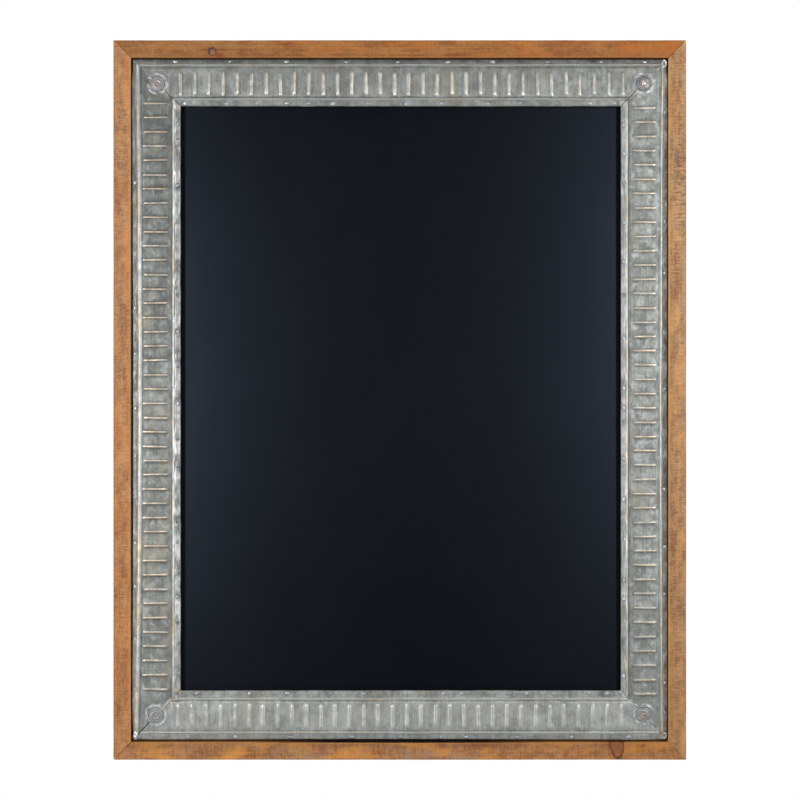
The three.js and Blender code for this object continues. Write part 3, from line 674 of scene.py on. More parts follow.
# A knot's middle and half its size, how it narrows, leans and frays, and how strong its heart, outline
# and halo are. A loose knot is drawn as a pale middle with bits of bark round it.
KNOTS = {
    "top": [
        Knot(-195.2 * MM, 363.0 * MM, 3.7 * MM, 3.6 * MM, 0.1, 0.0, 1.0, 0.6, 0.7, 0.6, "pale"),
        Knot(-198.2 * MM, 365.4 * MM, 1.5 * MM, 1.5 * MM, 0.0, 0.0, 0.9, 0.8, 0.8, 0.3, "bark"),
        Knot(-195.2 * MM, 366.6 * MM, 1.9 * MM, 1.3 * MM, 0.0, 0.0, 0.9, 0.8, 0.8, 0.3, "bark"),
        Knot(-198.8 * MM, 362.4 * MM, 1.2 * MM, 1.7 * MM, 0.0, 0.0, 0.9, 0.8, 0.8, 0.3, "bark"),
        Knot(-192.6 * MM, 364.4 * MM, 1.1 * MM, 1.6 * MM, 0.0, 0.0, 0.9, 0.7, 0.7, 0.3, "bark"),
        Knot(-195.4 * MM, 363.6 * MM, 1.0 * MM, 1.0 * MM, 0.0, 0.0, 0.9, 0.35, 0.35, 0.0, "bark"),
        Knot(-188.4 * MM, 358.8 * MM, 3.3 * MM, 2.8 * MM, 0.0, -0.6, 0.7, 0.75, 0.5, 0.6),
    ],
    "bottom": [
        Knot(226.0 * MM, -360.8 * MM, 7.2 * MM, 13.4 * MM, 0.24, -0.2, 0.45, 0.42, 0.8, 0.25),
        Knot(223.0 * MM, -360.0 * MM, 3.0 * MM, 9.0 * MM, 0.3, -0.3, 1.1, 0.55, 0.2, 0.0),
        Knot(230.6 * MM, -364.0 * MM, 2.4 * MM, 9.0 * MM, 0.3, -0.1, 1.1, 0.55, 0.5, 0.0),
    ],
    "right": [],
    "left": [],
}

# Where the saw left its marks: centre along the rail, half length and strength.
SAW_ZONES = {
    "top": [(165 * MM, 40 * MM, 0.15)],
    "right": [(222 * MM, 52 * MM, 0.75), (-60 * MM, 90 * MM, 0.25), (-270 * MM, 60 * MM, 0.35)],
    "bottom": [(-112 * MM, 42 * MM, 0.5), (36 * MM, 52 * MM, 0.6), (190 * MM, 60 * MM, 0.2)],
    "left": [(296 * MM, 22 * MM, 0.5), (130 * MM, 60 * MM, 0.25)],
}


def saw_marks(tree, side, place, across):
    """How strongly the saw's marks show at a place along and across a rail."""
    sawn = 0.0
    for centre, half_length, strength in SAW_ZONES[side.name]:
        away = maths(tree, "ABSOLUTE", maths(tree, "SUBTRACT", place, centre))
        zone = ranged(tree, away, 0.6 * half_length, 1.1 * half_length, strength, 0.0)
        sawn = maths(tree, "ADD", zone, sawn)
    return maths(tree, "MULTIPLY", sawn, ranged(tree, across, 0.45, 0.9, 1.0, 0.25))


def with_knots(tree, side, settings, point, surface, height):
    """A rail's colour and height with its knots in them."""
    colours = {
        "sound": (settings.knot_heart, settings.knot_edge),
        "pale": (settings.knot_pale, settings.knot_edge),
        "bark": (settings.knot_bark, settings.knot_bark),
    }
    for item in KNOTS[side.name]:
        knot = place_group(tree, "wood_knot", {
            "Vector": point,
            "Centre": (item.across, RAIL_FRONT, item.up),
            "Reach": (item.reach_x, 60 * MM, item.reach_z),
            "Taper": item.taper,
            "Lean": item.lean,
            "Ragged": item.ragged,
        })
        heart_colour, edge_colour = colours[item.kind]
        halo = maths(tree, "MULTIPLY", knot["Halo"], item.halo * 0.6)
        surface = blend(tree, halo, surface, colour(settings.knot_heart))
        heart = maths(tree, "MULTIPLY", knot["Heart"], item.heart)
        surface = blend(tree, heart, surface, colour(heart_colour))
        edge = maths(tree, "MULTIPLY", knot["Outline"], item.outline)
        surface = blend(tree, edge, surface, colour(edge_colour))
        height = maths(tree, "SUBTRACT", height, maths(tree, "MULTIPLY", knot["Outline"], 0.5))
    return surface, height


def pine_finish(side, settings):
    """Stained pine for one rail: grain, saw marks, worn edges, painted light and shade at edges and gap, and
    knots.
    """
    material, tree, shader = new_material(f"stained_pine_{side.name}", specular_ior_level=0.32)
    tone = RAIL_TONES[side.name]
    upright = side.name in ("left", "right")
    plain = object_point(tree)
    point = object_point(tree, (0, math.radians(90) if upright else 0, 0), tone.shift)
    place = axes(tree, plain)["Z" if upright else "X"]
    across = attribute(tree, "across")
    grain = place_group(tree, "pine_grain", {
        "Vector": point,
        "Light": tinted(settings.pine_light, tone.tint),
        "Dark": tinted(tinted(settings.pine_dark, tone.tint), tone.deep),
        "Glow": colour(tone.glow_colour),
        "Grey": tinted(settings.pine_grey, tone.tint),
        "Mark": colour(tone.mark),
        "Across": across,
        "Glow Amount": tone.glow,
        "Grey Amount": tone.grey,
        "Saw Marks": saw_marks(tree, side, place, across),
        "Streaks": tone.streaks,
        "Hatch": tone.hatch,
    })
    half = (RAIL_HEIGHT if upright else RAIL_LENGTH) / 2
    along = blend(tree, ranged(tree, place, -half, half), colour(tone.start), colour(tone.end))
    surface = blend(tree, 1.0, grain["Color"], along, "MULTIPLY")
    # Painted light and shade along the rail's outer and inner edge.
    surface = blend(tree, 1.0, surface, ranged(tree, across, 0.0, 1.0, *tone.edges), "MULTIPLY")
    # Painted shade, and on the right rail painted light, on the rail's side towards the metal in the gap.
    from_middle = maths(tree, "ABSOLUTE", place)
    wall = ranged(tree, from_middle, GAP_CHANGE_START, GAP_CHANGE_END, *tone.wall)
    on_wall = ranged(tree, across, 0.975, 1.0)
    surface = blend(tree, on_wall, surface, blend(tree, 1.0, surface, wall, "MULTIPLY"))
    surface, height = with_knots(tree, side, settings, plain, surface, grain["Height"])
    tree.links.new(surface, shader.inputs["Base Color"])
    tree.links.new(grain["Roughness"], shader.inputs["Roughness"])
    bump(tree, shader, height, 0.25 * MM, 0.7)
    return material


def zinc_finish(side, settings):
    """The zinc of one strip, painted lighter or darker than the others, and rubbed and lit where its shape
    says so.
    """
    material, tree, shader = new_material(f"pressed_zinc_{side.name}", specular_ior_level=0.15)
    tone = ZINC_TONES[side.name]
    up = axes(tree, object_point(tree))["Z"]
    # Painted light: the strip's zinc is lighter or darker from its lower to its upper end.
    painted_fade = ranged(tree, up, -RAIL_HEIGHT / 2, RAIL_HEIGHT / 2, tone.low, tone.high)
    shift = (0.7 * SIDES.index(side), 0, 0)
    zinc = place_group(tree, "weathered_zinc", {
        "Vector": object_point(tree, (0, math.radians(90), 0), shift),
        "Base": tinted(settings.zinc_base, (tone.lift, tone.lift, tone.lift)),
        "Shade": tinted(settings.zinc_shade, (tone.lift, tone.lift, tone.lift)),
        "Pale": colour(settings.zinc_pale),
        "Stain": colour(settings.zinc_stain),
        "Crest": colour(settings.zinc_crest),
        "Warm Crest": colour(settings.zinc_warm),
        "Dirt": colour(settings.zinc_dirt),
        "Polish": attribute(tree, "polish"),
        "Warmth": attribute(tree, "warmth"),
        "Paint": attribute(tree, "paint"),
        "Grime": attribute(tree, "grime"),
        "Spangles": tone.spangles,
        "Gloss": settings.zinc_roughness,
    })
    tree.links.new(blend(tree, 1.0, zinc["Color"], painted_fade, "MULTIPLY"), shader.inputs["Base Color"])
    for label in ("Roughness", "Metallic"):
        tree.links.new(zinc[label], shader.inputs[label])
    bump(tree, shader, zinc["Height"], 0.3 * MM, 0.8)
    return material


def cap_finish(settings):
    """Darker, browner zinc for the corner caps."""
    material, tree, shader = new_material("tarnished_cap")
    zinc = place_group(tree, "weathered_zinc", {
        "Vector": object_point(tree),
        "Base": (0.35, 0.36, 0.365, 1),
        "Shade": (0.21, 0.212, 0.215, 1),
        "Pale": colour(settings.zinc_pale),
        "Stain": (0.3, 0.2, 0.12, 1),
        "Crest": (0.5, 0.56, 0.6, 1),
        "Warm Crest": (0.5, 0.29, 0.14, 1),
        "Dirt": (0.05, 0.05, 0.055, 1),
        "Polish": attribute(tree, "polish"),
        "Warmth": attribute(tree, "warmth"),
        "Grime": attribute(tree, "grime"),
        "Spangles": 0.3,
        "Gloss": 0.5,
    })
    tree.links.new(zinc["Color"], shader.inputs["Base Color"])
    for label in ("Roughness", "Metallic"):
        tree.links.new(zinc[label], shader.inputs[label])
    bump(tree, shader, zinc["Height"], 0.3 * MM, 0.7)
    return material


def steel_finish(name, metal, stain, stains, gloss):
    material, tree, shader = new_material(name, metallic=1.0)
    worn = place_group(tree, "worn_steel", {
        "Vector": object_point(tree),
        "Metal": colour(metal),
        "Stain": colour(stain),
        "Stains": stains,
        "Gloss": gloss,
    })
    tree.links.new(worn["Color"], shader.inputs["Base Color"])
    tree.links.new(worn["Roughness"], shader.inputs["Roughness"])
    bump(tree, shader, worn["Height"], 0.08 * MM, 0.6)
    return material


def panel_finish(settings):
    """Black chalk paint: fine orange peel, faint wiped clouds, a few specks of dust, and a painted shadow
    down each side.
    """
    material, tree, shader = new_material(
        "chalkboard_black", specular_ior_level=0.34, specular_tint=(0.71, 0.9, 1.24, 1)
    )
    point = object_point(tree)
    cloud = grain_noise(tree, point, 9.0, detail=3)
    peel = grain_noise(tree, point, 1500.0, detail=2)
    wiped = grain_noise(tree, point, (20, 20, 12), detail=2)
    specks = add_node(tree, "ShaderNodeTexVoronoi", {"Vector": point, "Scale": 55.0}).outputs["Distance"]
    dust = ranged(tree, specks, 0.02, 0.035, 0.35, 0.0)
    clouded = ranged(tree, cloud, 0.3, 0.7)
    base = blend(tree, clouded, colour(settings.panel_dark), colour(settings.panel_light))
    rough = maths(tree, "ADD", settings.panel_roughness, ranged(tree, wiped, 0.3, 0.7, -0.004, 0.006))
    # A painted shadow down each side, where the metal's fold shades the panel: black, with its sheen dulled.
    left, right = SIDES[3], SIDES[1]
    across = axes(tree, point)["X"]
    low = left.width - left.reach + settings.panel_margin
    high = right.reach - right.width - settings.panel_margin
    side_shadow = ranged(tree, across, low - 0.3 * MM, low + 0.5 * MM, 1.0, 0.0)
    side_shadow = maths(tree, "ADD", side_shadow, ranged(tree, across, high - 0.5 * MM, high + 0.3 * MM))
    rough = plus(tree, rough, side_shadow, 0.68)
    surface = blend(tree, dust, base, (0.03, 0.032, 0.036, 1))
    tree.links.new(blend(tree, side_shadow, surface, (0, 0, 0, 1)), shader.inputs["Base Color"])
    tree.links.new(rough, shader.inputs["Roughness"])
    bump(tree, shader, peel, 0.02 * MM, 0.5)
    return material


def hardboard_finish():
    """Back board: pressed brown fibres, the print of the press screen, and painted shade low in the middle
    of its front.
    """
    material, tree, shader = new_material("brown_hardboard", specular_ior_level=0.25)
    point = object_point(tree)
    fibre = grain_noise(tree, point, (800, 800, 240), detail=5, roughness=0.7, distortion=1.2)
    cloud = grain_noise(tree, point, 24.0, detail=4)
    wave = {"Vector": point, "Scale": 190.0, "Distortion": 1.2}
    screen, cross = (
        add_node(tree, "ShaderNodeTexWave", wave, bands_direction=direction).outputs["Fac"]
        for direction in ("X", "Z")
    )
    weave = maths(tree, "MULTIPLY", screen, cross)
    base = blend(tree, ranged(tree, fibre, 0.3, 0.7), (0.13, 0.072, 0.036, 1), (0.31, 0.19, 0.105, 1))
    base = blend(tree, ranged(tree, cloud, 0.4, 0.75, 0.0, 0.5), base, (0.22, 0.135, 0.075, 1))
    place = axes(tree, point)
    low = BACK_BOARD_LOW
    from_middle = maths(tree, "ABSOLUTE", place["X"])
    # Painted shade on the board's front, where it shows in the gap low in the middle.
    gap_shade = ranged(tree, from_middle, GAP_CHANGE_START, GAP_CHANGE_END, 0.9, 0.0)
    front = ranged(tree, place["Y"], low.y, low.y + 1 * MM, 1.0, 0.0)
    bottom = ranged(tree, place["Z"], low.z + 15 * MM, low.z + 25 * MM, 1.0, 0.0)
    gap_shade = maths(tree, "MULTIPLY", maths(tree, "MULTIPLY", gap_shade, front), bottom)
    base = blend(tree, gap_shade, base, (0.01, 0.006, 0.004, 1))
    tree.links.new(base, shader.inputs["Base Color"])
    tree.links.new(ranged(tree, cloud, 0.3, 0.7, 0.66, 0.8), shader.inputs["Roughness"])
    height = plus(tree, maths(tree, "MULTIPLY", weave, 0.7), fibre, 0.5)
    bump(tree, shader, height, 0.25 * MM, 0.7)
    return material


def core_finish():
    """Core rails: raw fibreboard, hidden under the metal."""
    material, tree, shader = new_material("raw_fibreboard", specular_ior_level=0.2)
    point = object_point(tree)
    fibre = grain_noise(tree, point, 1600.0, detail=4, roughness=0.7)
    base = blend(tree, fibre, (0.3, 0.21, 0.13, 1), (0.5, 0.38, 0.25, 1))
    tree.links.new(base, shader.inputs["Base Color"])
    tree.links.new(ranged(tree, fibre, 0.3, 0.7, 0.75, 0.9), shader.inputs["Roughness"])
    bump(tree, shader, fibre, 0.1 * MM, 0.6)
    return material


def rubber_finish():
    """Wall pads: soft black rubber with a fine grit."""
    material, tree, shader = new_material("soft_rubber", specular_ior_level=0.3)
    grit = grain_noise(tree, object_point(tree), 1900.0, detail=3)
    base = blend(tree, grit, (0.014, 0.014, 0.015, 1), (0.035, 0.035, 0.036, 1))
    tree.links.new(base, shader.inputs["Base Color"])
    tree.links.new(ranged(tree, grit, 0.3, 0.7, 0.6, 0.78), shader.inputs["Roughness"])
    bump(tree, shader, grit, 0.05 * MM, 0.7)
    return material


# Metal strips.

def rib_places(side):
    gap_count = round((side.length - 2 * STRIP_WIDTH) / RIB_PITCH)
    first = (side.rib_shift - gap_count / 2) * RIB_PITCH
    return [first + i * RIB_PITCH for i in range(gap_count + 1)]


def tack_places(side):
    """(along, across) of each tack on a strip, in an outer and an inner row."""
    outer = [((share - 0.5) * side.length, OUTER_TACK) for share in side.outer_tacks]
    inner_length = side.length - 2 * STRIP_WIDTH
    inner = [((share - 0.5) * inner_length, side.width - INNER_TACK_INSET) for share in side.inner_tacks]
    return outer, inner


def strip_point(side, along, across, height):
    """A point on a strip: along it from its middle, across it from its outer edge, and out of its face."""
    spot = BORDER_CENTRE + side.along * along + side.out * (side.reach - across)
    spot.y = METAL_FACE - height
    return spot


def neighbour(side, end):
    """The strip that a strip meets at its end, 1 or -1."""
    return SIDES[(SIDES.index(side) + (1 if end > 0 else -1)) % len(SIDES)]


def strip_rows(side):
    """(across, height) of each row of the sheet, from the outer fold's lower edge to the inner one's."""
    rows = [(0.0, -OUTER_FOLD_DROP * share) for share in (1.0, 0.6, 0.28)]
    fold_angles = [math.radians(90 * step / 5) for step in range(6)]
    for angle in fold_angles:
        rows.append((OUTER_FOLD_RADIUS * (1 - math.cos(angle)), OUTER_FOLD_RADIUS * (math.sin(angle) - 1)))
    across = OUTER_FOLD_RADIUS
    for end, spacing in (
        (side.outer_bead - 2.3 * MM + min(0.0, *side.bead_bow), BAND_SPACING),
        (side.outer_bead + 3.3 * MM, BEAD_SPACING),
        (side.inner_bead - 3.2 * MM, FIELD_SPACING),
        (side.inner_bead + 1.9 * MM, BEAD_SPACING),
        (side.width - INNER_FOLD_RADIUS, BAND_SPACING),
    ):
        count = max(1, round((end - across) / spacing))
        step = (end - across) / count
        rows += [(across + step * (i + 1), 0.0) for i in range(count)]
        across = end
    for angle in fold_angles[1:]:
        across = side.width - INNER_FOLD_RADIUS * (1 - math.sin(angle))
        rows.append((across, INNER_FOLD_RADIUS * (math.cos(angle) - 1)))
    return rows + [(side.width, -INNER_FOLD_DROP * share) for share in (0.5, 1.0)]


def strip_columns(side):
    """Where the middle part ends, fixed places along it, closer over each rib, and shares of the ends."""
    near, far = neighbour(side, -1), neighbour(side, 1)
    limit = min(near.reach - near.width, far.reach - far.width) - 1.2 * MM
    over_rib = [RIB_WIDTH * share for share in (-0.48, -0.32, -0.2, -0.09, 0.0, 0.09, 0.2, 0.32, 0.48)]
    between = RIB_PITCH - 2 * over_rib[-1]
    places = []
    for rib in rib_places(side):
        places += [rib + offset for offset in over_rib]
        places += [rib + over_rib[-1] + between * i / 4 for i in (1, 2, 3)]
    fixed = [-limit] + [place for place in places if abs(place) < limit - 0.2 * MM] + [limit]
    shares = [1 - (1 - (i + 1) / END_COLUMNS) ** 1.5 for i in range(END_COLUMNS)]
    return limit, fixed, shares


class Relief:
    """One point of the sheet: how high it stands, and how polished, warm and grimy it is there, with painted
    highlights in its polish and painted shade in its grime.
    """

    def __init__(self, height):
        self.height = height
        self.polish = self.warmth = self.grime = 0.0

    def wear_and_light(self, polish=0.0, warmth=0.0, grime=0.0):
        """Polishes and lights, warms, and soils and shades the point at least this much."""
        self.polish = max(self.polish, polish)
        self.warmth = max(self.warmth, warmth)
        self.grime = max(self.grime, grime)


class StripShape:
    """The pressed relief of one metal strip."""

    def __init__(self, side, settings):
        self.side = side
        self.settings = settings
        self.seed = Vector((3.1 + 7.7 * SIDES.index(side), 1.9, 5.3))
        rng = random.Random(f"ribs {side.name}")
        self.ribs = [
            (place + rng.uniform(-0.3, 0.3) * MM, rng.uniform(*RIB_SIZES), rng.uniform(-0.5, 0.5) * MM,
             rng.uniform(-0.7, 0.7) * MM)
            for place in rib_places(side)
        ]
        outer, inner = tack_places(side)
        self.tacks = outer + inner
        self.corners = [CORNERS[name] for name in side.seams]
        self.caps = []
        for end, corner in zip((-1, 1), self.corners):
            cap = cap_centre(corner) - BORDER_CENTRE
            other = neighbour(side, end)
            self.caps.append((other.reach - cap.dot(other.out), side.reach - cap.dot(side.out)))

    def ripple(self, along, across, scale, salt=0.0):
        """Smooth noise over the strip, the same each time; a salt gives other noise of the same scale."""
        return noise.noise(Vector((along * scale, across * scale, salt)) + self.seed)

    def seam(self, end, across):
        """How far a mitre's edge is set back at a place across the strip, at its end 1 or -1."""
        corner = self.corners[1 if end > 0 else 0]
        share = ease((across - CAP_INSET + 4 * MM) / (8 * MM))
        gap = corner.outer.gap + (corner.inner.gap - corner.outer.gap) * share
        return gap * (0.6 + 0.9 * max(0.0, 0.5 + self.ripple(0.02 * end, across, 420.0, 4.0)))

    def mitre_end(self, end, across):
        """Where the sheet ends at a mitre, with end 1 or -1."""
        other = neighbour(self.side, end)
        return end * (other.reach - across * other.width / self.side.width - self.seam(end, across))

    def near_ribs(self, along):
        return [rib for rib in self.ribs if abs(rib[0] - along) < RIB_WIDTH]

    def near_tacks(self, along):
        return [tack for tack in self.tacks if abs(tack[0] - along) < 9 * MM]

    def bowed(self, along, bow):
        """A smooth bend through a strip's start, middle and end."""
        share = 2 * along / self.side.length
        start, middle, end = bow
        return middle + (end - start) / 2 * share + ((start + end) / 2 - middle) * share * share

    def band_height(self, across, outer_bead):
        """The two edge bands lean outwards from the beads."""
        side = self.side
        outer = max(0.0, outer_bead - side.bead_width / 2 - across)
        inner = max(0.0, across - side.inner_bead - 1.5 * MM)
        return -side.slopes[0] * outer - side.slopes[1] * inner

    def rub_and_light_bands(self, spot, along, across, on_outer, on_inner):
        """Rubs, dirties and paints light and shade on the two edge bands in patches."""
        outer_band, _, _, inner_band = self.side.tones
        patchy = 0.75 + 1.0 * self.ripple(along, across, 130.0, 25.0)
        patchy += 0.8 * self.ripple(along, across, 60.0, 26.0)
        patchy = max(0.0, patchy + 0.7 * self.ripple(along, across * 1.8, 340.0, 27.0))
        inner_band, outer_band = (
            tone * (patchy if tone > 0 else 0.6 + 0.4 * patchy) for tone in (inner_band, outer_band)
        )
        band = on_inner * inner_band + on_outer * outer_band
        spot.wear_and_light(polish=band, grime=-band)

    def press_beads(self, spot, along, across, outer_bead):
        """Raises the two long beads, each with a groove beside it, and a slower slope on upright strips."""
        side, settings = self.side, self.settings
        _, outer_tone, inner_tone, _ = side.tones
        outer_gap = OUTER_CREASE_GAP + side.bead_width / 2 - 1.6 * MM
        beads = (
            (outer_bead, outer_gap, side.bead_width, 1.5, outer_tone, side.creases[0], 1.0),
            (side.inner_bead, -INNER_CREASE_GAP, INNER_BEAD_WIDTH, 1.7, inner_tone, side.creases[1], 2.0),
        )
        for bead, gap, width, slower, tone, soil_and_shade, salt in beads:
            wander = 0.35 * MM * self.ripple(along, 0.0, 22.0, salt)
            strength = 1.0 + 0.3 * self.ripple(along, 0.0, 35.0, salt + 5)
            off_bead = across - bead - wander
            spread = slower if side.out.x and off_bead * gap < 0 else 1.0
            crest = hump(off_bead / spread, width / 2)
            groove = off_bead - gap
            depth = 0.8 + 0.6 * self.ripple(along, 0.0, 60.0, salt + 9)
            deepest = settings.groove_depth * min(1.0, 0.35 + 1.5 * soil_and_shade)
            spot.height += settings.bead_height * strength * crest
            spot.height -= deepest * bell(groove, 0.6 * MM) * depth
            # Crests are rubbed zinc with a painted highlight; the grooves get grime and painted shade.
            rubbed_and_lit = min(1.0, 1.7 * crest) * (strength + 0.5 * self.ripple(along, 0.0, 140.0, salt + 2))
            warm = crest * max(0.0, 0.2 + 1.2 * self.ripple(along, across, 30.0, salt + 3))
            soiled_and_shaded = soil_and_shade * bell(groove, 0.55 * MM) * min(1.0, depth)
            spot.wear_and_light(polish=tone * rubbed_and_lit, warmth=warm, grime=soiled_and_shaded)
            far_side = off_bead + math.copysign(0.6 * width * spread, gap)
            spot.wear_and_light(grime=0.35 * soil_and_shade * bell(far_side, 0.45 * MM))

    def press_rib(self, spot, along, across, rib):
        """Raises one cross rib, with its crest rubbed and lit by a painted highlight, and painted shade on
        its flanks.
        """
        side = self.side
        place, size, lean, shift = rib
        slant = lean * (across - side.rib_start) / (side.rib_end - side.rib_start)
        start = side.rib_start + side.rib_rub + shift
        end = side.rib_end - side.rib_rub + shift
        beyond = 1.5 * max(start - across, across - end, 0.0)
        off = (along - place - slant) * side.shade
        distance = math.hypot(off, beyond)
        spot.height += side.rib_rise * size * hump(distance, RIB_WIDTH / 2)
        at_bottom = side.out.z < 0
        # The tip is a painted highlight where the rib's end faces a side light.
        tip = bell(math.hypot(off, across - (start if side.out.x else end)), 1.6 * MM)
        scuffed_and_lit = 0.66 + 0.5 * self.ripple(along, across, 200.0, 18.0)
        # On the bottom strip the bigger ribs get less painted highlight down their middle.
        if at_bottom:
            bigger = size - sum(RIB_SIZES) / 2
            scuffed_and_lit *= 0.9 - 0.25 * bell(off, 0.4 * side.rib_rub) * ease(0.5 + 2 * bigger)
        scuffed_and_lit += (0.25 if at_bottom else 0.45) * tip
        warm_place, warm_width = side.rib_warm
        worn = bell(off - warm_place * side.rib_rub, warm_width * side.rib_rub) * bell(beyond, side.rib_rub)
        shaded_flank = bell(abs(off) - side.rib_rub - 0.9 * MM, 0.8 * MM) * bell(beyond, 1.2 * MM)
        spot.wear_and_light(
            polish=scuffed_and_lit * (1 - ease(distance / side.rib_rub - 0.5)),
            warmth=worn * (0.95 + 2 * (size - 1)) * (1 - 0.6 * tip),
            grime=(0.8 if off > 0 else 0.35) * side.flank_shade * shaded_flank,
        )

    def beat(self, spot, along, across, on_outer, on_inner):
        """Makes the sheet uneven between the beads and crumpled on its edge bands."""
        side, settings = self.side, self.settings
        field = ease((across - side.outer_bead - 2 * MM) / (4 * MM))
        field *= ease((side.inner_bead - 2 * MM - across) / (4 * MM))
        dish = self.ripple(along, across, 95.0, 11.0) * 0.34 + self.ripple(along, across, 240.0, 12.0) * 0.1
        spot.height += settings.unevenness * dish * (0.25 + 0.75 * field)
        crumple = self.ripple(along, across * 0.5, 75.0, 15.0) * 0.4
        crumple += self.ripple(along, across, 210.0, 16.0) * 0.16
        spot.height += settings.crumple * crumple * (on_inner + 0.7 * on_outer)

    def relief(self, along, across, ribs, tacks):
        """The sheet at a point on its face."""
        side, settings = self.side, self.settings
        outer_bead = side.outer_bead + self.bowed(along, side.bead_bow)
        on_inner = ease((across - side.inner_bead - 0.8 * MM) / (1.6 * MM))
        on_outer = ease((outer_bead - 0.4 * side.bead_width - across) / (1.6 * MM))
        spot = Relief(self.band_height(across, outer_bead))
        self.rub_and_light_bands(spot, along, across, on_outer, on_inner)
        self.press_beads(spot, along, across, outer_bead)
        # Painted shade on the inner fold, where the sheet turns down to the panel.
        edge = side.edge_shade * bell(side.width - across, 1.1 * MM)
        spot.polish *= 1 - edge
        spot.wear_and_light(grime=edge)
        for rib in ribs:
            self.press_rib(spot, along, across, rib)
        self.beat(spot, along, across, on_outer, on_inner)
        for place, row in tacks:
            distance = math.hypot(along - place, across - row)
            spot.height -= settings.dent_depth * bell(distance, 3.2 * MM)
            spot.wear_and_light(grime=0.45 * bell(distance - TACK_RADIUS, 0.9 * MM))
        spot.polish = min(spot.polish, 1.0)
        return spot

    def work_corner(self, spot, along, across):
        """Adds what the cap, the hammered corner and the seam do near a mitre."""
        side = self.side
        at_end = 1 if along > 0 else 0
        corner = self.corners[at_end]
        other = neighbour(side, 1 if along > 0 else -1)
        from_end = other.reach - abs(along)

        away, own = self.caps[at_end]
        off_cap = math.hypot(from_end - away, across - own) - CAP_RADIUS
        rise = 0.3 * MM * bell(off_cap - 1.2 * MM, 1.5 * MM)
        # A halo of painted highlight round the cap, and grime and painted shade at its edge.
        halo = bell(off_cap - 1.0 * MM, 1.0 * MM) * ease(0.6 + 1.4 * self.ripple(along, across, 240.0, 22.0))
        spot.wear_and_light(polish=halo, grime=0.45 * bell(off_cap, 0.6 * MM))

        seam_gap = abs(from_end - across * other.width / side.width) * math.sqrt(0.5)
        seam = corner.inner if across > own else corner.outer
        rough = self.ripple(from_end, across, 300.0, 21.0)
        rise += 0.6 * MM * seam.polish * (0.4 + rough) * bell(seam_gap, 1.8 * MM)
        # The bent fold along the seam gets a painted highlight.
        fold_width = (0.4 + 0.7 * seam.polish) * MM
        fold_highlight = seam.polish * bell(seam_gap - fold_width, fold_width)
        fold_highlight *= ease(0.2 + 0.5 * seam.polish + 1.6 * rough)
        if fold_highlight > 0.15:
            spot.wear_and_light(polish=fold_highlight, warmth=seam.warmth)
        spot.wear_and_light(grime=seam.grime * bell(seam_gap, 0.5 * MM))

        if corner.glint and side.out.x:
            lit = ease((across - side.inner_bead + 1 * MM) / (2 * MM)) * bell(from_end - other.width, 5 * MM)
            lit *= ease((from_end - other.width + 4 * MM) / (2 * MM))
            spot.wear_and_light(polish=corner.glint * lit, warmth=0.8 * lit * ease(0.6 + 1.5 * rough))

        ear_end, ear_across = (EAR_UP, EAR_ACROSS) if side.out.x else (EAR_ACROSS, EAR_UP)
        tip = math.hypot(from_end - ear_end, across - ear_across)
        beaten = corner.lump * bell(tip, 4.2 * MM)
        rise += beaten * (0.9 * self.ripple(from_end, across, 330.0, 31.0) - 0.3) * 1.2 * MM
        spot.wear_and_light(
            polish=beaten * ease(0.2 + 2.2 * self.ripple(from_end, across, 260.0, 33.0)),
            grime=corner.lump * 0.8 * bell(tip, 3.2 * MM),
        )
        spot.height += rise

    def edge_shift(self, along, across):
        """The sheet's two long edges are never quite straight."""
        side = self.side
        from_mitre = side.length / 2 - abs(along)
        outer = max(0.26 * MM * self.ripple(along, 0.0, 48.0, 41.0), -0.05 * MM)
        outer += self.bowed(along, side.edge_bow) * ease(from_mitre / (20 * MM) - 0.3)
        inner = 0.32 * MM * self.ripple(along, 0.0, 60.0, 43.0)
        return bell(across, 2.5 * MM) * outer + bell(across - side.width, 2.5 * MM) * inner


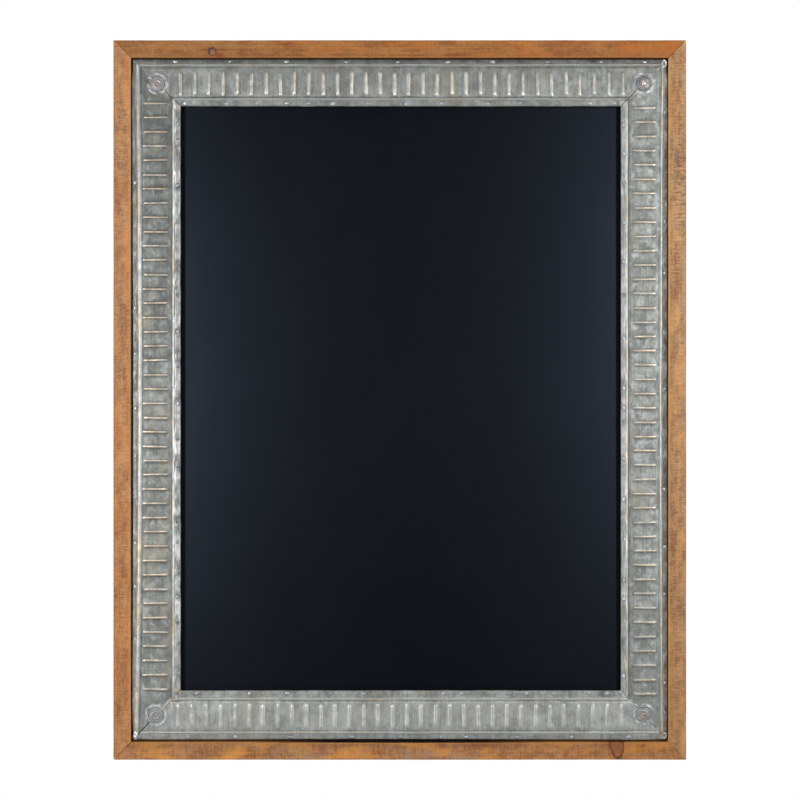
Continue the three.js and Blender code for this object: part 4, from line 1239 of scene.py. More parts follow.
def build_strip(side, settings):
    """A pressed metal strip: a grid of points over its bands, beads and ribs, mitred at its ends."""
    shape = StripShape(side, settings)
    rows = strip_rows(side)
    limit, fixed, shares = strip_columns(side)
    columns = [("end", -share) for share in reversed(shares)]
    columns += [("fixed", place) for place in fixed]
    columns += [("end", share) for share in shares]
    bm = bmesh.new()
    bmesh.ops.create_grid(bm, x_segments=len(columns) - 1, y_segments=len(rows) - 1, size=1)
    if len(bm.verts) != len(columns) * len(rows):
        raise RuntimeError("the strip's grid has the wrong number of points")
    names = ("polish", "warmth", "grime", "paint")
    polish, warmth, grime, paint = (bm.verts.layers.float.new(name) for name in names)
    columns_of = [[] for _ in columns]
    for vert in bm.verts:
        i = round((vert.co.x + 1) / 2 * (len(columns) - 1))
        j = round((vert.co.y + 1) / 2 * (len(rows) - 1))
        columns_of[i].append((j, vert))
    highest = METAL_FACE - RAIL_FRONT - 1.6 * MM
    for (kind, value), points in zip(columns, columns_of):
        if kind == "fixed":
            ribs, tacks = shape.near_ribs(value), shape.near_tacks(value)
        for j, vert in points:
            across, base = rows[j]
            along = value
            if kind == "end":
                end = math.copysign(1, value)
                along = end * limit + abs(value) * (shape.mitre_end(end, across) - end * limit)
                ribs, tacks = shape.near_ribs(along), shape.near_tacks(along)
            spot = shape.relief(along, across, ribs, tacks)
            if side.length / 2 - abs(along) < STRIP_WIDTH + 8 * MM:
                shape.work_corner(spot, along, across)
            on_face = 1.0 if base > -0.2 * MM else max(0.0, 1.0 + base / (1.6 * MM))
            placed = across + shape.edge_shift(along, across)
            vert.co = strip_point(side, along, placed, min(base + spot.height * on_face, highest))
            inside = across > side.width / 2
            vert[polish] = min(spot.polish * on_face, 1.0)
            vert[warmth] = spot.warmth * on_face
            # Where the sheet turns down at its folds it gets painted shade.
            vert[grime] = min(max(spot.grime, 0.6 * ease((-0.3 * MM - base) / (1.2 * MM))), 1.0)
            vert[paint] = ease((-1.1 * MM - base) / (0.8 * MM)) if inside else 0.0
    bm.normal_update()
    if sum(face.normal.y * face.calc_area() for face in bm.faces) > 0:
        bmesh.ops.reverse_faces(bm, faces=bm.faces)
    material = zinc_finish(side, settings)
    name = f"pressed_strip_{side.name}"
    piece = finish_piece(name, bm, "board", material, 60, [f"metal_strip_{side.name}"])
    wall = piece.modifiers.new("sheet_thickness", "SOLIDIFY")
    wall.thickness = SHEET_THICKNESS
    wall.offset = -1
    return piece


def build_core(side):
    """A core rail under a metal strip, with the step in its back that holds the panel."""
    low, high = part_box(f"core_rail_{side.name}")
    outer_wrap = 0.8 * MM
    inner = side.width - SHEET_THICKNESS - 0.4 * MM
    step = STRIP_WIDTH - 8.8 * MM
    floor = PANEL_LOW.y - 0.3 * MM
    top = low.y + 1.6 * MM
    bm, far = extruded([
        (outer_wrap, top), (inner - 3 * MM, top), (inner, top + 1.2 * MM), (inner, floor), (step, floor),
        (step, high.y), (outer_wrap, high.y),
    ])
    for vert in bm.verts:
        end = 1 if vert in far else -1
        other = neighbour(side, end)
        vert.co.x = end * (other.reach - vert.co.y * other.width / side.width - 0.3 * MM)
    round_edges(bm, lengthwise(bm, STRIP_WIDTH * 2), 0.5 * MM, 2)
    lay_along(bm, side, BORDER_CENTRE, side.reach)
    material = bpy.data.materials["raw_fibreboard"]
    name = f"fibreboard_core_{side.name}"
    return finish_piece(name, bm, "board", material, 40, [f"core_rail_{side.name}"])


# Tacks, caps and nails.

def dome_mesh(name, radius, height, steps):
    """One round head, flat underneath, as a mesh to be copied."""
    bm = bmesh.new()
    profile = [(0, -0.25 * height), (radius * 0.9, -0.25 * height), (radius, 0.05 * height)]
    profile += [(radius * 0.93, 0.42 * height), (radius * 0.68, 0.78 * height)]
    profile += [(radius * 0.33, 0.96 * height), (0, height)]
    turned_solid(bm, profile, steps)
    mesh = bpy.data.meshes.new(name)
    bm.to_mesh(mesh)
    bm.free()
    return mesh


def build_tacks(side, settings):
    """The two rows of tacks along a strip, each head a little turned, leaning and out of round."""
    head = dome_mesh("tack_head_pattern", TACK_RADIUS, settings.tack_height, 12)
    rng = random.Random(f"tacks {side.name}")
    upright = math.atan2(side.along.z, side.along.x)
    for row_name, places in zip(("outer", "inner"), tack_places(side)):
        bm = bmesh.new()
        for along, across in places:
            before = len(bm.verts)
            bm.from_mesh(head)
            bm.verts.ensure_lookup_table()
            made = bm.verts[before:]
            size = rng.uniform(0.85, 1.1)
            oval = Matrix.Diagonal((size * rng.uniform(1.15, 1.5), size, rng.uniform(0.75, 1.1), 1))
            lean = Matrix.Rotation(math.radians(rng.uniform(-9, 9)), 4, "X")
            spin = Matrix.Rotation(upright + rng.uniform(-0.3, 0.3), 4, "Z")
            place = along + rng.uniform(-0.5, 0.5) * MM
            spot = strip_point(side, place, across, -0.75 * settings.dent_depth)
            matrix = Matrix.Translation(spot) @ TO_FRONT @ spin @ lean @ oval
            bmesh.ops.transform(bm, matrix=matrix, verts=made)
            for vert in made:
                vert.co.y = max(vert.co.y, RAIL_FRONT + 0.5 * MM)
        dull = (side.name, row_name) in (("left", "inner"), ("right", "outer"))
        material = bpy.data.materials["tack_dull" if dull else "tack_steel"]
        finish_piece(f"tack_row_{side.name}_{row_name}", bm, "board", material, 50)
    bpy.data.meshes.remove(head)


# A cap from its middle's back round to its middle's front: (share of its radius, height in millimetres).
CAP_PROFILE = [
    (0, -0.1), (0.95, -0.1), (1.0, 0.05), (0.985, 0.32), (0.95, 0.5), (0.905, 0.48), (0.87, 0.25),
    (0.85, 0.12), (0.83, 0.22), (0.81, 0.55), (0.79, 0.72), (0.74, 0.78), (0.66, 0.78), (0.58, 0.76),
    (0.5, 0.8), (0.44, 0.94), (0.38, 0.98), (0.32, 0.88), (0.26, 0.8), (0.18, 0.82), (0.1, 0.86), (0, 0.88),
]


def cap_centre(corner):
    low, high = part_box(f"corner_cap_{corner.name}")
    return Vector(((low.x + high.x) / 2, METAL_FACE, (low.z + high.z) / 2)) + corner.cap_shift


def build_cap(corner):
    """A round cap: beaten rim with a painted highlight, dark groove with painted shade, flat disc with a
    worn ring in it.
    """
    bm = bmesh.new()
    radius = CAP_RADIUS
    turned_solid(bm, [(share * radius, rise * MM) for share, rise in CAP_PROFILE], 56)
    names = ("polish", "warmth", "grime")
    polish_and_highlight_layer, warmth_layer, grime_and_shade_layer = (bm.verts.layers.float.new(name) for name in names)
    seed = Vector((corner.across * 3.7, corner.up * 5.9, 2.0))
    for vert in bm.verts:
        x, y = vert.co.x / radius, vert.co.y / radius
        reach = math.hypot(x, y)
        beat = noise.noise(vert.co * 420 + seed)
        wide = noise.noise(vert.co * 170 + seed * 2)
        rim = ease((reach - 0.8) / 0.1)
        if vert.co.z > 0.1 * MM:
            vert.co.z += (0.3 * rim + 0.16) * (beat + 0.6 * wide) * MM
        vert.co.x *= 1 + 0.07 * wide * rim
        vert.co.y *= 1 + 0.07 * wide * rim
        off_worn = math.hypot(x - corner.worn[0], y - corner.worn[1])
        worn = bell(off_worn - 0.28, 0.24) * ease(0.55 + 1.8 * wide + 1.2 * beat)
        # Painted light and shade: a highlight on the beaten rim, shade in the groove that is stronger at its
        # lower right, and the cap's tone, which makes the lower caps paler and the upper ones darker.
        lower_right = 0.5 + 0.5 * (x - y) / max(reach, 0.1) / math.sqrt(2)
        pale = max(corner.cap_tone, 0.0) * (1 + 1.2 * wide)
        vert[polish_and_highlight_layer] = max(0.75 * rim * ease(0.6 + 1.5 * beat), 0.8 * worn, pale)
        vert[warmth_layer] = ease(2.2 * worn) * (1 - rim)
        outline = bell(reach - 0.845, 0.04) * (0.45 + 0.5 * lower_right)
        dull = max(-corner.cap_tone, 0.0) * (1 - rim) * (1 + 1.5 * beat)
        vert[grime_and_shade_layer] = max(outline, 0.6 * bell(off_worn, 0.16) * ease(0.5 + 2 * beat), dull)
    bmesh.ops.transform(bm, matrix=Matrix.Translation(cap_centre(corner)) @ TO_FRONT, verts=bm.verts)
    name = f"beaten_cap_{corner.name}"
    material = bpy.data.materials["tarnished_cap"]
    return finish_piece(name, bm, "board", material, 50, [f"corner_cap_{corner.name}"])


def build_nail(corner):
    """The nail through a cap: small domed head, shank and point."""
    low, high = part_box(f"corner_nail_{corner.name}")
    depth = high.y - low.y
    head = corner.nail
    shank = 0.8 * MM
    bm = bmesh.new()
    profile = [(0, -depth + 1.0 * MM), (shank, -depth + 2.2 * MM), (shank, -1.0 * MM), (head, -0.85 * MM)]
    profile += [(head * 1.02, -0.6 * MM), (head * 0.86, -0.25 * MM), (head * 0.5, -0.05 * MM), (0, 0)]
    turned_solid(bm, profile, 20)
    spot = cap_centre(corner) + Vector((corner.worn[0], 0, corner.worn[1])) * CAP_RADIUS * 0.5
    spot.y = METAL_FACE - 1.5 * MM
    bmesh.ops.transform(bm, matrix=Matrix.Translation(spot) @ TO_FRONT, verts=bm.verts)
    name = f"cap_nail_{corner.name}"
    material = bpy.data.materials["bent_zinc" if corner.nail > 2 * MM else "tack_steel"]
    return finish_piece(name, bm, "board", material, 50, [f"corner_nail_{corner.name}"])


def build_ear(corner):
    """The sheet's ear at a corner, bent round into a small loop and hammered flat."""
    half_width, half_height, thickness = corner.ear
    bm = bmesh.new()
    ring = bmesh.ops.create_circle(bm, cap_ends=False, radius=thickness, segments=10)["verts"]
    bmesh.ops.rotate(bm, verts=ring, cent=(0, 0, 0), matrix=Matrix.Rotation(math.radians(90), 3, "X"))
    bmesh.ops.translate(bm, verts=ring, vec=(half_width, 0, 0))
    bmesh.ops.spin(
        bm, geom=ring + edges_of(ring), cent=(0, 0, 0), axis=(0, 0, 1), angle=FULL_TURN, steps=24,
        use_merge=True,
    )
    seed = Vector((corner.across * 4.1, corner.up * 2.3, 8.0))
    for vert in bm.verts:
        vert.co.y *= half_height / half_width
        vert.co += noise_push(vert.co * 520 + seed) * 0.45 * MM
        vert.co.z *= 0.9
    bmesh.ops.recalc_face_normals(bm, faces=bm.faces)
    across = SIDES[1].reach - EAR_ACROSS
    up = (SIDES[0] if corner.up > 0 else SIDES[2]).reach - EAR_UP
    spot = BORDER_CENTRE + Vector((corner.across * across, 0, corner.up * up))
    spot.y = METAL_FACE - 0.2 * MM
    bmesh.ops.transform(bm, matrix=Matrix.Translation(spot) @ TO_FRONT, verts=bm.verts)
    material = bpy.data.materials["bent_zinc"]
    return finish_piece(f"folded_ear_{corner.name}", bm, "board", material, 60)


# Pine rails.

def build_rail(side, settings):
    """A mitred rail with a step in its back, worn arrises and slightly uneven faces."""
    lip = RAIL_FACE - RABBET_WIDTH
    back = RAIL_BACK - 0.05 * MM
    face_width = side.rail_face
    bm, far = extruded([
        (0, RAIL_FRONT), (face_width, RAIL_FRONT), (face_width, RABBET_FLOOR), (lip, RABBET_FLOOR),
        (lip, back), (0, back),
    ])
    gaps = [CORNERS[name].wood_seam for name in side.seams]
    for vert in bm.verts:
        end = 1 if vert in far else -1
        slope = neighbour(side, end).rail_face / face_width
        vert.co.x = end * (side.rail_length / 2 - vert.co.y * slope - gaps[1 if end > 0 else 0])
    least = RAIL_FACE * 2
    fronts = [
        edge for edge in lengthwise(bm, least)
        if all(abs(vert.co.z - RAIL_FRONT) < 0.001 * MM for vert in edge.verts)
    ]
    round_edges(bm, fronts, settings.arris, 5)
    backs = [edge for edge in lengthwise(bm, least) if edge.verts[0].co.z > RAIL_FRONT + 5 * MM]
    round_edges(bm, backs, 0.5 * MM, 2)
    cuts = round(side.rail_length / (6 * MM))
    bmesh.ops.subdivide_edges(bm, edges=lengthwise(bm, least), cuts=cuts, use_grid_fill=True)
    across_layer = bm.verts.layers.float.new("across")
    seed = Vector((11.3 * SIDES.index(side), 2.2, 7.1))
    for vert in bm.verts:
        along, across, depth = vert.co
        dent = noise.noise(Vector((along * 55, across * 400, depth * 400)) + seed)
        sweep = noise.noise(Vector((along * 9, across * 60, depth * 30)) + seed * 2)
        worn = max(0.0, 0.5 * dent + 0.6 * sweep) * settings.rail_wear
        inner = ease((across - face_width + RAIL_FACE * 0.2) / (RAIL_FACE * 0.2))
        outer = ease((RAIL_FACE * 0.2 - across) / (RAIL_FACE * 0.2))
        front = ease((RAIL_FRONT + 2 * MM - depth) / (2 * MM))
        vert.co.y += worn * (outer - inner)
        vert.co.z += worn * 0.6 * front
        vert[across_layer] = across / face_width
    lay_along(bm, side, Vector((0, 0, 0)), side.rail_reach)
    name = f"pine_rail_{side.name}"
    return finish_piece(name, bm, "board", pine_finish(side, settings), 40, [f"{side.name}_rail"])


# Screws and rings at the back.

def build_screw(node):
    """A pan-head screw with a cross recess, head towards the wall."""
    low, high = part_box(node)
    bm = bmesh.new()
    head = (high.z - low.z) / 2
    head_height = 1.7 * MM
    shank = 1.4 * MM
    length = high.y - low.y
    profile = [(0, -length + 0.05 * MM), (shank * 0.35, -length + 0.6 * MM), (shank, -length + 2 * MM)]
    profile += [(shank, -head_height), (head * 0.97, -head_height), (head, -head_height * 0.85)]
    profile += [(head * 0.98, -head_height * 0.5), (head * 0.88, -head_height * 0.22)]
    profile += [(head * 0.72, -head_height * 0.08), (head * 0.62, -0.04 * MM), (head * 0.58, -0.03 * MM)]
    profile += [(head * share, 0) for share in (0.32, 0.27, 0.14, 0)]
    turned_solid(bm, profile, 32)
    for vert in bm.verts:
        reach = math.hypot(vert.co.x, vert.co.y)
        turn = math.atan2(vert.co.y, vert.co.x) % (HALF_TURN / 2)
        off_arm = min(turn, HALF_TURN / 2 - turn) * reach
        if vert.co.z > -0.2 * MM and reach < head * 0.6 and off_arm < 0.36 * MM:
            vert.co.z -= 0.9 * MM * ease(1.1 - reach / (head * 0.9))
    rng = random.Random(node)
    turn = Matrix.Rotation(rng.uniform(0, HALF_TURN), 4, "Z")
    spot = Vector(((low.x + high.x) / 2, high.y, (low.z + high.z) / 2))
    bmesh.ops.transform(bm, matrix=Matrix.Translation(spot) @ TO_BACK @ turn, verts=bm.verts)
    material = bpy.data.materials["screw_zinc"]
    return finish_piece(f"pan_{node}", bm, "board", material, 40, [node])


def build_ring(name, joint):
    """A D-shaped wire ring on its pin, leaning on the board."""
    low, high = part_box(f"hanging_ring_{name}")
    wire = 1.2 * MM
    half_width = (high.x - low.x) / 2 - wire
    leg = 6 * MM
    pivot = Vector(joint["pos_m"])
    reach = leg + half_width
    lean = math.asin(min(1.0, (pivot.y - wire - low.y) / reach))
    bm = bmesh.new()
    circle = bmesh.ops.create_circle(bm, cap_ends=False, radius=wire, segments=16)["verts"]
    bmesh.ops.translate(bm, verts=circle, vec=(-half_width, 0, 0))
    up = bmesh.ops.extrude_edge_only(bm, edges=edges_of(circle))["geom"]
    bmesh.ops.translate(bm, verts=only(up, BMVert), vec=(0, 0, leg))
    rim = only(up, BMEdge) + only(up, BMVert)
    arc = bmesh.ops.spin(
        bm, geom=rim, cent=(0, 0, leg), axis=(0, 1, 0), angle=HALF_TURN, steps=28
    )["geom_last"]
    down = bmesh.ops.extrude_edge_only(bm, edges=only(arc, BMEdge))["geom"]
    bmesh.ops.translate(bm, verts=only(down, BMVert), vec=(0, 0, -leg))
    bmesh.ops.holes_fill(bm, edges=[edge for edge in bm.edges if edge.is_boundary], sides=0)
    pin_length = 2 * (half_width + wire)
    pin_turn = Matrix.Rotation(math.radians(90), 4, "Y")
    pin = bmesh.ops.create_cone(
        bm, cap_ends=True, segments=16, radius1=wire, radius2=wire, depth=pin_length, matrix=pin_turn
    )["verts"]
    rims = [edge for edge in edges_of(pin) if edge.calc_face_angle(0) > 1]
    round_edges(bm, rims, 0.35 * MM, 2)
    bmesh.ops.recalc_face_normals(bm, faces=bm.faces)
    matrix = Matrix.Translation(pivot) @ Matrix.Rotation(lean, 4, "X")
    bmesh.ops.transform(bm, matrix=matrix, verts=bm.verts)
    material = bpy.data.materials["ring_steel"]
    return finish_piece(
        f"wire_ring_{name}", bm, f"{name}_ring", material, 40, [f"hanging_ring_{name}"]
    )


# Stage.

def add_softbox(name, place, aim, size, power):
    """A soft light that the camera doesn't see."""
    light = bpy.data.lights.new(name, "AREA")
    light.shape = "RECTANGLE"
    light.size, light.size_y = size
    light.energy = power
    lamp = bpy.data.objects.new(name, light)
    lamp.visible_camera = False
    bpy.context.scene.collection.objects.link(lamp)
    lamp.location = place
    lamp.rotation_euler = (Vector(aim) - Vector(place)).to_track_quat("-Z", "Y").to_euler()


def build_world(stage):
    """White behind the object; for reflections dark near the camera and bright at the sides and behind."""
    world = bpy.data.worlds.new("studio_light")
    bpy.context.scene.world = world
    world.use_nodes = True
    tree = world.node_tree
    tree.nodes.clear()
    direction = add_node(tree, "ShaderNodeTexCoord").outputs["Generated"]
    y = axes(tree, direction)["Y"]
    share = add_node(tree, "ShaderNodeMapRange", {"Value": y, "From Min": -1.0, "From Max": 1.0}).outputs[0]
    ramp = add_node(tree, "ShaderNodeValToRGB", {"Fac": share})
    near = stage.world_near
    stops = [(0.0, near), (0.04, near * 1.3), (0.12, 0.07), (0.27, 0.22), (0.5, 0.45), (1.0, 0.95)]
    elements = ramp.color_ramp.elements
    while len(elements) < len(stops):
        elements.new(1.0)
    for element, (place, level) in zip(elements, stops):
        element.position = place
        element.color = (level * 0.97, level, level * 1.04, 1)
    seen = add_node(tree, "ShaderNodeLightPath").outputs["Is Camera Ray"]
    mixed = blend(tree, seen, ramp.outputs[0], (1, 1, 1, 1))
    background = add_node(tree, "ShaderNodeBackground", {"Color": mixed, "Strength": 1.0})
    output = add_node(tree, "ShaderNodeOutputWorld")
    tree.links.new(background.outputs[0], output.inputs[0])


def build_camera(stage):
    """A long lens straight in front of the board."""
    data = bpy.data.cameras.new("photo_camera")
    data.sensor_width = 36
    data.lens = 90
    distance = stage.view_width * data.lens / data.sensor_width
    camera = bpy.data.objects.new("photo_camera", data)
    bpy.context.scene.collection.objects.link(camera)
    camera.location = (stage.view_shift, RAIL_FRONT - distance, 0)
    camera.rotation_euler = (math.radians(90), 0, 0)
    data.clip_end = 50
    bpy.context.scene.camera = camera


def build_floor(stage):
    """A pale floor well below the board, for the views from the side and from behind."""
    bm = bmesh.new()
    bmesh.ops.create_grid(bm, x_segments=24, y_segments=24, size=stage.floor_size / 2)
    bmesh.ops.translate(bm, verts=bm.verts, vec=(0, 0, stage.floor_level))
    mesh = bpy.data.meshes.new("studio_floor")
    bm.to_mesh(mesh)
    bm.free()
    floor = bpy.data.objects.new("studio_floor", mesh)
    bpy.context.scene.collection.objects.link(floor)
    material, tree, shader = new_material("pale_floor", roughness=0.8, specular_ior_level=0.2)
    tone = grain_noise(tree, object_point(tree), 3.0, detail=2)
    surface = blend(tree, tone, (0.78, 0.78, 0.78, 1), (0.82, 0.82, 0.82, 1))
    tree.links.new(surface, shader.inputs["Base Color"])
    mesh.materials.append(material)


# Settings.

class ChalkboardStage(bpy.types.PropertyGroup):
    """Camera, lights and floor."""

    view_width: FloatProperty(
        name="View width", description="Width that the camera sees at the board's front", default=0.8337,
        min=0.1, unit="LENGTH",
    )
    view_shift: FloatProperty(
        name="View shift", description="How far right of the board's middle the camera stands",
        default=0.0002, unit="LENGTH",
    )
    left_power: FloatProperty(
        name="Left light", description="Power of the left strip light", default=8.6, min=0, unit="POWER"
    )
    right_power: FloatProperty(
        name="Right light", description="Power of the right strip light", default=8.8, min=0, unit="POWER"
    )
    top_power: FloatProperty(
        name="Top light", description="Power of the light above", default=3.0, min=0, unit="POWER"
    )
    low_power: FloatProperty(
        name="Low light", description="Power of the light below the camera", default=3.0, min=0, unit="POWER"
    )
    back_power: FloatProperty(
        name="Back light", description="Power of the light behind the board", default=10.0, min=0,
        unit="POWER",
    )
    world_near: FloatProperty(
        name="Glow by the camera", description="Brightness of the room round the camera", default=0.015,
        min=0,
    )
    floor_level: FloatProperty(
        name="Floor level", description="Height of the floor", default=-1.15, unit="LENGTH"
    )
    floor_size: FloatProperty(
        name="Floor size", description="Width of the floor", default=3.2, min=0.5, unit="LENGTH"
    )


class ChalkboardSettings(bpy.types.PropertyGroup):
    """Sizes and colours of the board's pieces."""

    bead_height: FloatProperty(
        name="Bead height", description="Height of the two long beads", default=1.15 * MM, unit="LENGTH"
    )
    groove_depth: FloatProperty(
        name="Groove depth", description="Depth of the groove beside each bead", default=0.55 * MM,
        unit="LENGTH",
    )
    crumple: FloatProperty(
        name="Crumple", description="How crumpled the tacked edges are", default=1.7 * MM, unit="LENGTH"
    )
    unevenness: FloatProperty(
        name="Unevenness", description="How uneven the beaten sheet is", default=1.0 * MM, unit="LENGTH"
    )
    dent_depth: FloatProperty(
        name="Tack dent", description="Depth of the dent round each tack", default=0.4 * MM, unit="LENGTH"
    )
    tack_height: FloatProperty(
        name="Tack height", description="Height of a tack's head", default=0.55 * MM, unit="LENGTH"
    )
    arris: FloatProperty(
        name="Arris", description="Rounding of the rails' front edges", default=0.6 * MM, unit="LENGTH"
    )
    rail_wear: FloatProperty(
        name="Rail wear", description="How far the rails' edges are worn", default=0.35 * MM, unit="LENGTH"
    )
    zinc_base: FloatVectorProperty(
        name="Zinc", description="Colour of the sheet metal", default=(0.357, 0.37, 0.345), subtype="COLOR"
    )
    zinc_shade: FloatVectorProperty(
        name="Dark zinc", description="Colour of the dark clouds in the metal", default=(0.2, 0.21, 0.2),
        subtype="COLOR",
    )
    zinc_stain: FloatVectorProperty(
        name="Stained zinc", description="Colour of the brown stains in the metal", default=(0.3, 0.27, 0.2),
        subtype="COLOR",
    )
    zinc_pale: FloatVectorProperty(
        name="Pale zinc", description="Colour of the pale smears", default=(0.5, 0.57, 0.6), subtype="COLOR"
    )
    # Rubbed crests and their painted highlights take this colour.
    zinc_crest: FloatVectorProperty(
        name="Rubbed zinc", description="Colour of the rubbed crests", default=(0.74, 0.74, 0.72),
        subtype="COLOR",
    )
    zinc_warm: FloatVectorProperty(
        name="Warm zinc", description="Colour of the rubbed ribs", default=(0.84, 0.62, 0.38),
        subtype="COLOR",
    )
    # Grime in the creases and painted shade take this colour.
    zinc_dirt: FloatVectorProperty(
        name="Grime", description="Colour of the grime in the creases", default=(0.075, 0.066, 0.055),
        subtype="COLOR",
    )
    zinc_roughness: FloatProperty(
        name="Zinc roughness", description="How dull the sheet metal is", default=0.52, min=0, max=1
    )
    pine_light: FloatVectorProperty(
        name="Light pine", description="Light grain of the pine", default=(0.59, 0.315, 0.145),
        subtype="COLOR",
    )
    pine_dark: FloatVectorProperty(
        name="Dark pine", description="Dark grain of the pine", default=(0.3, 0.125, 0.05), subtype="COLOR"
    )
    pine_grey: FloatVectorProperty(
        name="Grey stain", description="Greyish patches in the stain", default=(0.4, 0.26, 0.155),
        subtype="COLOR",
    )
    knot_heart: FloatVectorProperty(
        name="Knot", description="Colour of a knot", default=(0.27, 0.075, 0.018), subtype="COLOR"
    )
    knot_edge: FloatVectorProperty(
        name="Knot edge", description="Colour of a knot's edge", default=(0.1, 0.029, 0.011), subtype="COLOR"
    )
    knot_pale: FloatVectorProperty(
        name="Knot middle", description="Colour of a loose knot's middle", default=(0.36, 0.2, 0.115),
        subtype="COLOR",
    )
    knot_bark: FloatVectorProperty(
        name="Knot bark", description="Colour of the bark round a loose knot", default=(0.05, 0.032, 0.03),
        subtype="COLOR",
    )
    panel_dark: FloatVectorProperty(
        name="Panel black", description="Darkest black of the panel", default=(0.0011, 0.0012, 0.0015),
        subtype="COLOR",
    )
    panel_light: FloatVectorProperty(
        name="Panel black, wiped", description="Wiped black of the panel", default=(0.0014, 0.0015, 0.0019),
        subtype="COLOR",
    )
    panel_roughness: FloatProperty(
        name="Panel roughness", description="How dull the panel is", default=0.32, min=0, max=1
    )
    # Width of the painted shadow down each side of the panel.
    panel_margin: FloatProperty(
        name="Panel margin", description="Width of the dull line down each side of the panel",
        default=4.4 * MM, unit="LENGTH",
    )


# Operators.

class CHALKBOARD_OT_stage(bpy.types.Operator):
    """Sets up the camera, the lights, the room and the floor"""

    bl_idname = "chalkboard.stage"
    bl_label = "Stage"

    def execute(self, context):
        stage = context.scene.chalkboard_stage
        context.scene.view_settings.view_transform = "Standard"
        build_world(stage)
        build_camera(stage)
        build_floor(stage)
        front = RAIL_FRONT - 1.15
        add_softbox("left_strip_light", (-0.7, front, 0.04), (0, 0, 0), (0.1, 0.7), stage.left_power)
        add_softbox("right_strip_light", (0.7, front, 0.14), (0, 0, 0), (0.1, 0.8), stage.right_power)
        add_softbox("low_light", (0, -0.9, -1.4), (0, 0, -0.3), (0.9, 0.15), stage.low_power)
        add_softbox("top_light", (0, -0.9, 1.5), (0, 0, 0), (1.2, 0.3), stage.top_power)
        add_softbox("back_light", (0.6, 1.6, 0.9), (0, 0, 0), (1.2, 1.2), stage.back_power)
        if context.scene.camera is None:
            raise RuntimeError("the stage has no camera")
        return {"FINISHED"}


class CHALKBOARD_OT_finishes(bpy.types.Operator):
    """Makes the node groups and finishes that several pieces share"""

    bl_idname = "chalkboard.finishes"
    bl_label = "Shared finishes"

    def execute(self, context):
        make_grain_group()
        make_knot_group()
        make_zinc_group()
        make_wear_group()
        steel_finish("tack_steel", (0.55, 0.6, 0.66), (0.16, 0.17, 0.19), 0.75, 0.42)
        steel_finish("tack_dull", (0.4, 0.44, 0.5), (0.1, 0.1, 0.11), 0.9, 0.45)
        steel_finish("bent_zinc", (0.74, 0.8, 0.86), (0.3, 0.28, 0.26), 0.7, 0.38)
        steel_finish("screw_zinc", (0.62, 0.6, 0.5), (0.32, 0.28, 0.2), 0.4, 0.3)
        steel_finish("ring_steel", (0.7, 0.71, 0.72), (0.35, 0.33, 0.3), 0.35, 0.24)
        cap_finish(context.scene.chalkboard)
        return {"FINISHED"}


class CHALKBOARD_OT_rails(bpy.types.Operator):
    """Builds the four mitred pine rails"""

    bl_idname = "chalkboard.rails"
    bl_label = "Pine rails"

    def execute(self, context):
        for side in SIDES:
            build_rail(side, context.scene.chalkboard)
        return {"FINISHED"}


class CHALKBOARD_OT_strips(bpy.types.Operator):
    """Builds the four pressed metal strips and the core rails under them"""

    bl_idname = "chalkboard.strips"
    bl_label = "Metal strips"

    def execute(self, context):
        core_finish()
        for side in SIDES:
            build_strip(side, context.scene.chalkboard)
            build_core(side)
        return {"FINISHED"}


class CHALKBOARD_OT_tacks(bpy.types.Operator):
    """Builds the rows of tacks along the strips"""

    bl_idname = "chalkboard.tacks"
    bl_label = "Tacks"

    def execute(self, context):
        for side in SIDES:
            build_tacks(side, context.scene.chalkboard)
        return {"FINISHED"}


class CHALKBOARD_OT_caps(bpy.types.Operator):
    """Builds the corner caps and their nails"""

    bl_idname = "chalkboard.caps"
    bl_label = "Corner caps and nails"

    def execute(self, context):
        for corner in CORNERS.values():
            build_cap(corner)
            build_nail(corner)
            if corner.ear:
                build_ear(corner)
        return {"FINISHED"}


class CHALKBOARD_OT_screws(bpy.types.Operator):
    """Builds the screws in the back"""

    bl_idname = "chalkboard.screws"
    bl_label = "Screws"

    def execute(self, context):
        for node in sorted(frame["nodes"]):
            if node.startswith(("back_screw", "hanger_screw")):
                build_screw(node)
        return {"FINISHED"}


class CHALKBOARD_OT_rings(bpy.types.Operator):
    """Builds the two hanging rings"""

    bl_idname = "chalkboard.rings"
    bl_label = "Hanging rings"

    def execute(self, context):
        for joint in frame["joints"]:
            build_ring(joint["child"].removesuffix("_ring"), joint)
        return {"FINISHED"}


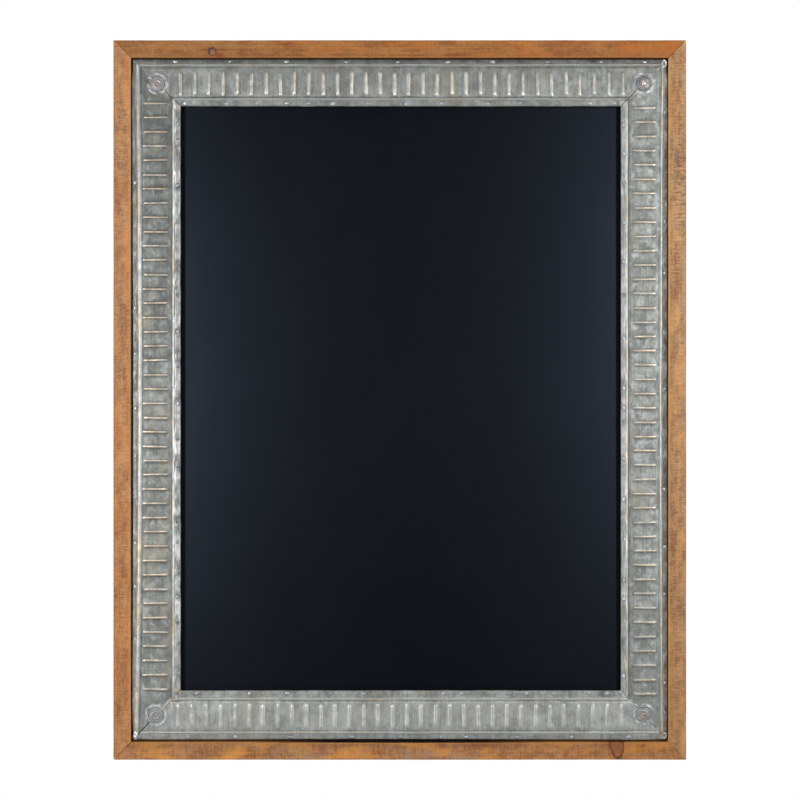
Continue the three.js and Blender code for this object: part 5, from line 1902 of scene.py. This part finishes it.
class CHALKBOARD_OT_carried(bpy.types.Operator):
    """Gives the pieces that are shown as they come from the frame their finishes"""

    bl_idname = "chalkboard.carried"
    bl_label = "Panel, back board and fittings"

    def execute(self, context):
        settings = context.scene.chalkboard
        panel = panel_finish(settings)
        hardboard = hardboard_finish()
        rubber = rubber_finish()
        steel = bpy.data.materials["tack_steel"]
        strap = bpy.data.materials["ring_steel"]
        finishes = {
            "writing_panel": panel,
            "back_board": hardboard,
            "wall_pad": rubber,
            "v_nail": steel,
            "retainer_point": steel,
            "hanger_strap": strap,
        }
        for node, piece in frame["nodes"].items():
            if piece.hide_render:
                continue
            matches = [material for start, material in finishes.items() if node.startswith(start)]
            if not matches:
                raise RuntimeError(f"{node} has no finish")
            for slot in piece.material_slots:
                slot.material = matches[0]
        return {"FINISHED"}


class CHALKBOARD_PT_panel(bpy.types.Panel):
    """Lists the board's pieces and settings"""

    bl_idname = "CHALKBOARD_PT_panel"
    bl_label = "Chalkboard"
    bl_space_type = "VIEW_3D"
    bl_region_type = "UI"
    bl_category = "Chalkboard"

    def draw(self, context):
        for operator in OPERATORS:
            self.layout.operator(operator.bl_idname)
        for group in (context.scene.chalkboard, context.scene.chalkboard_stage):
            box = self.layout.box()
            for name in group.bl_rna.properties.keys():
                if name not in ("rna_type", "name"):
                    box.prop(group, name)


OPERATORS = (
    CHALKBOARD_OT_stage,
    CHALKBOARD_OT_finishes,
    CHALKBOARD_OT_rails,
    CHALKBOARD_OT_strips,
    CHALKBOARD_OT_tacks,
    CHALKBOARD_OT_caps,
    CHALKBOARD_OT_screws,
    CHALKBOARD_OT_rings,
    CHALKBOARD_OT_carried,
)
CLASSES = (ChalkboardStage, ChalkboardSettings, *OPERATORS, CHALKBOARD_PT_panel)


def register():
    for item in CLASSES:
        bpy.utils.register_class(item)
    bpy.types.Scene.chalkboard_stage = PointerProperty(type=ChalkboardStage)
    bpy.types.Scene.chalkboard = PointerProperty(type=ChalkboardSettings)


def unregister():
    del bpy.types.Scene.chalkboard
    del bpy.types.Scene.chalkboard_stage
    for item in reversed(CLASSES):
        bpy.utils.unregister_class(item)


def main():
    register()
    bpy.ops.chalkboard.stage()
    bpy.ops.chalkboard.finishes()
    bpy.ops.chalkboard.rails()
    bpy.ops.chalkboard.strips()
    bpy.ops.chalkboard.tacks()
    bpy.ops.chalkboard.caps()
    bpy.ops.chalkboard.screws()
    bpy.ops.chalkboard.rings()
    bpy.ops.chalkboard.carried()


if __name__ == "__main__":
    main()
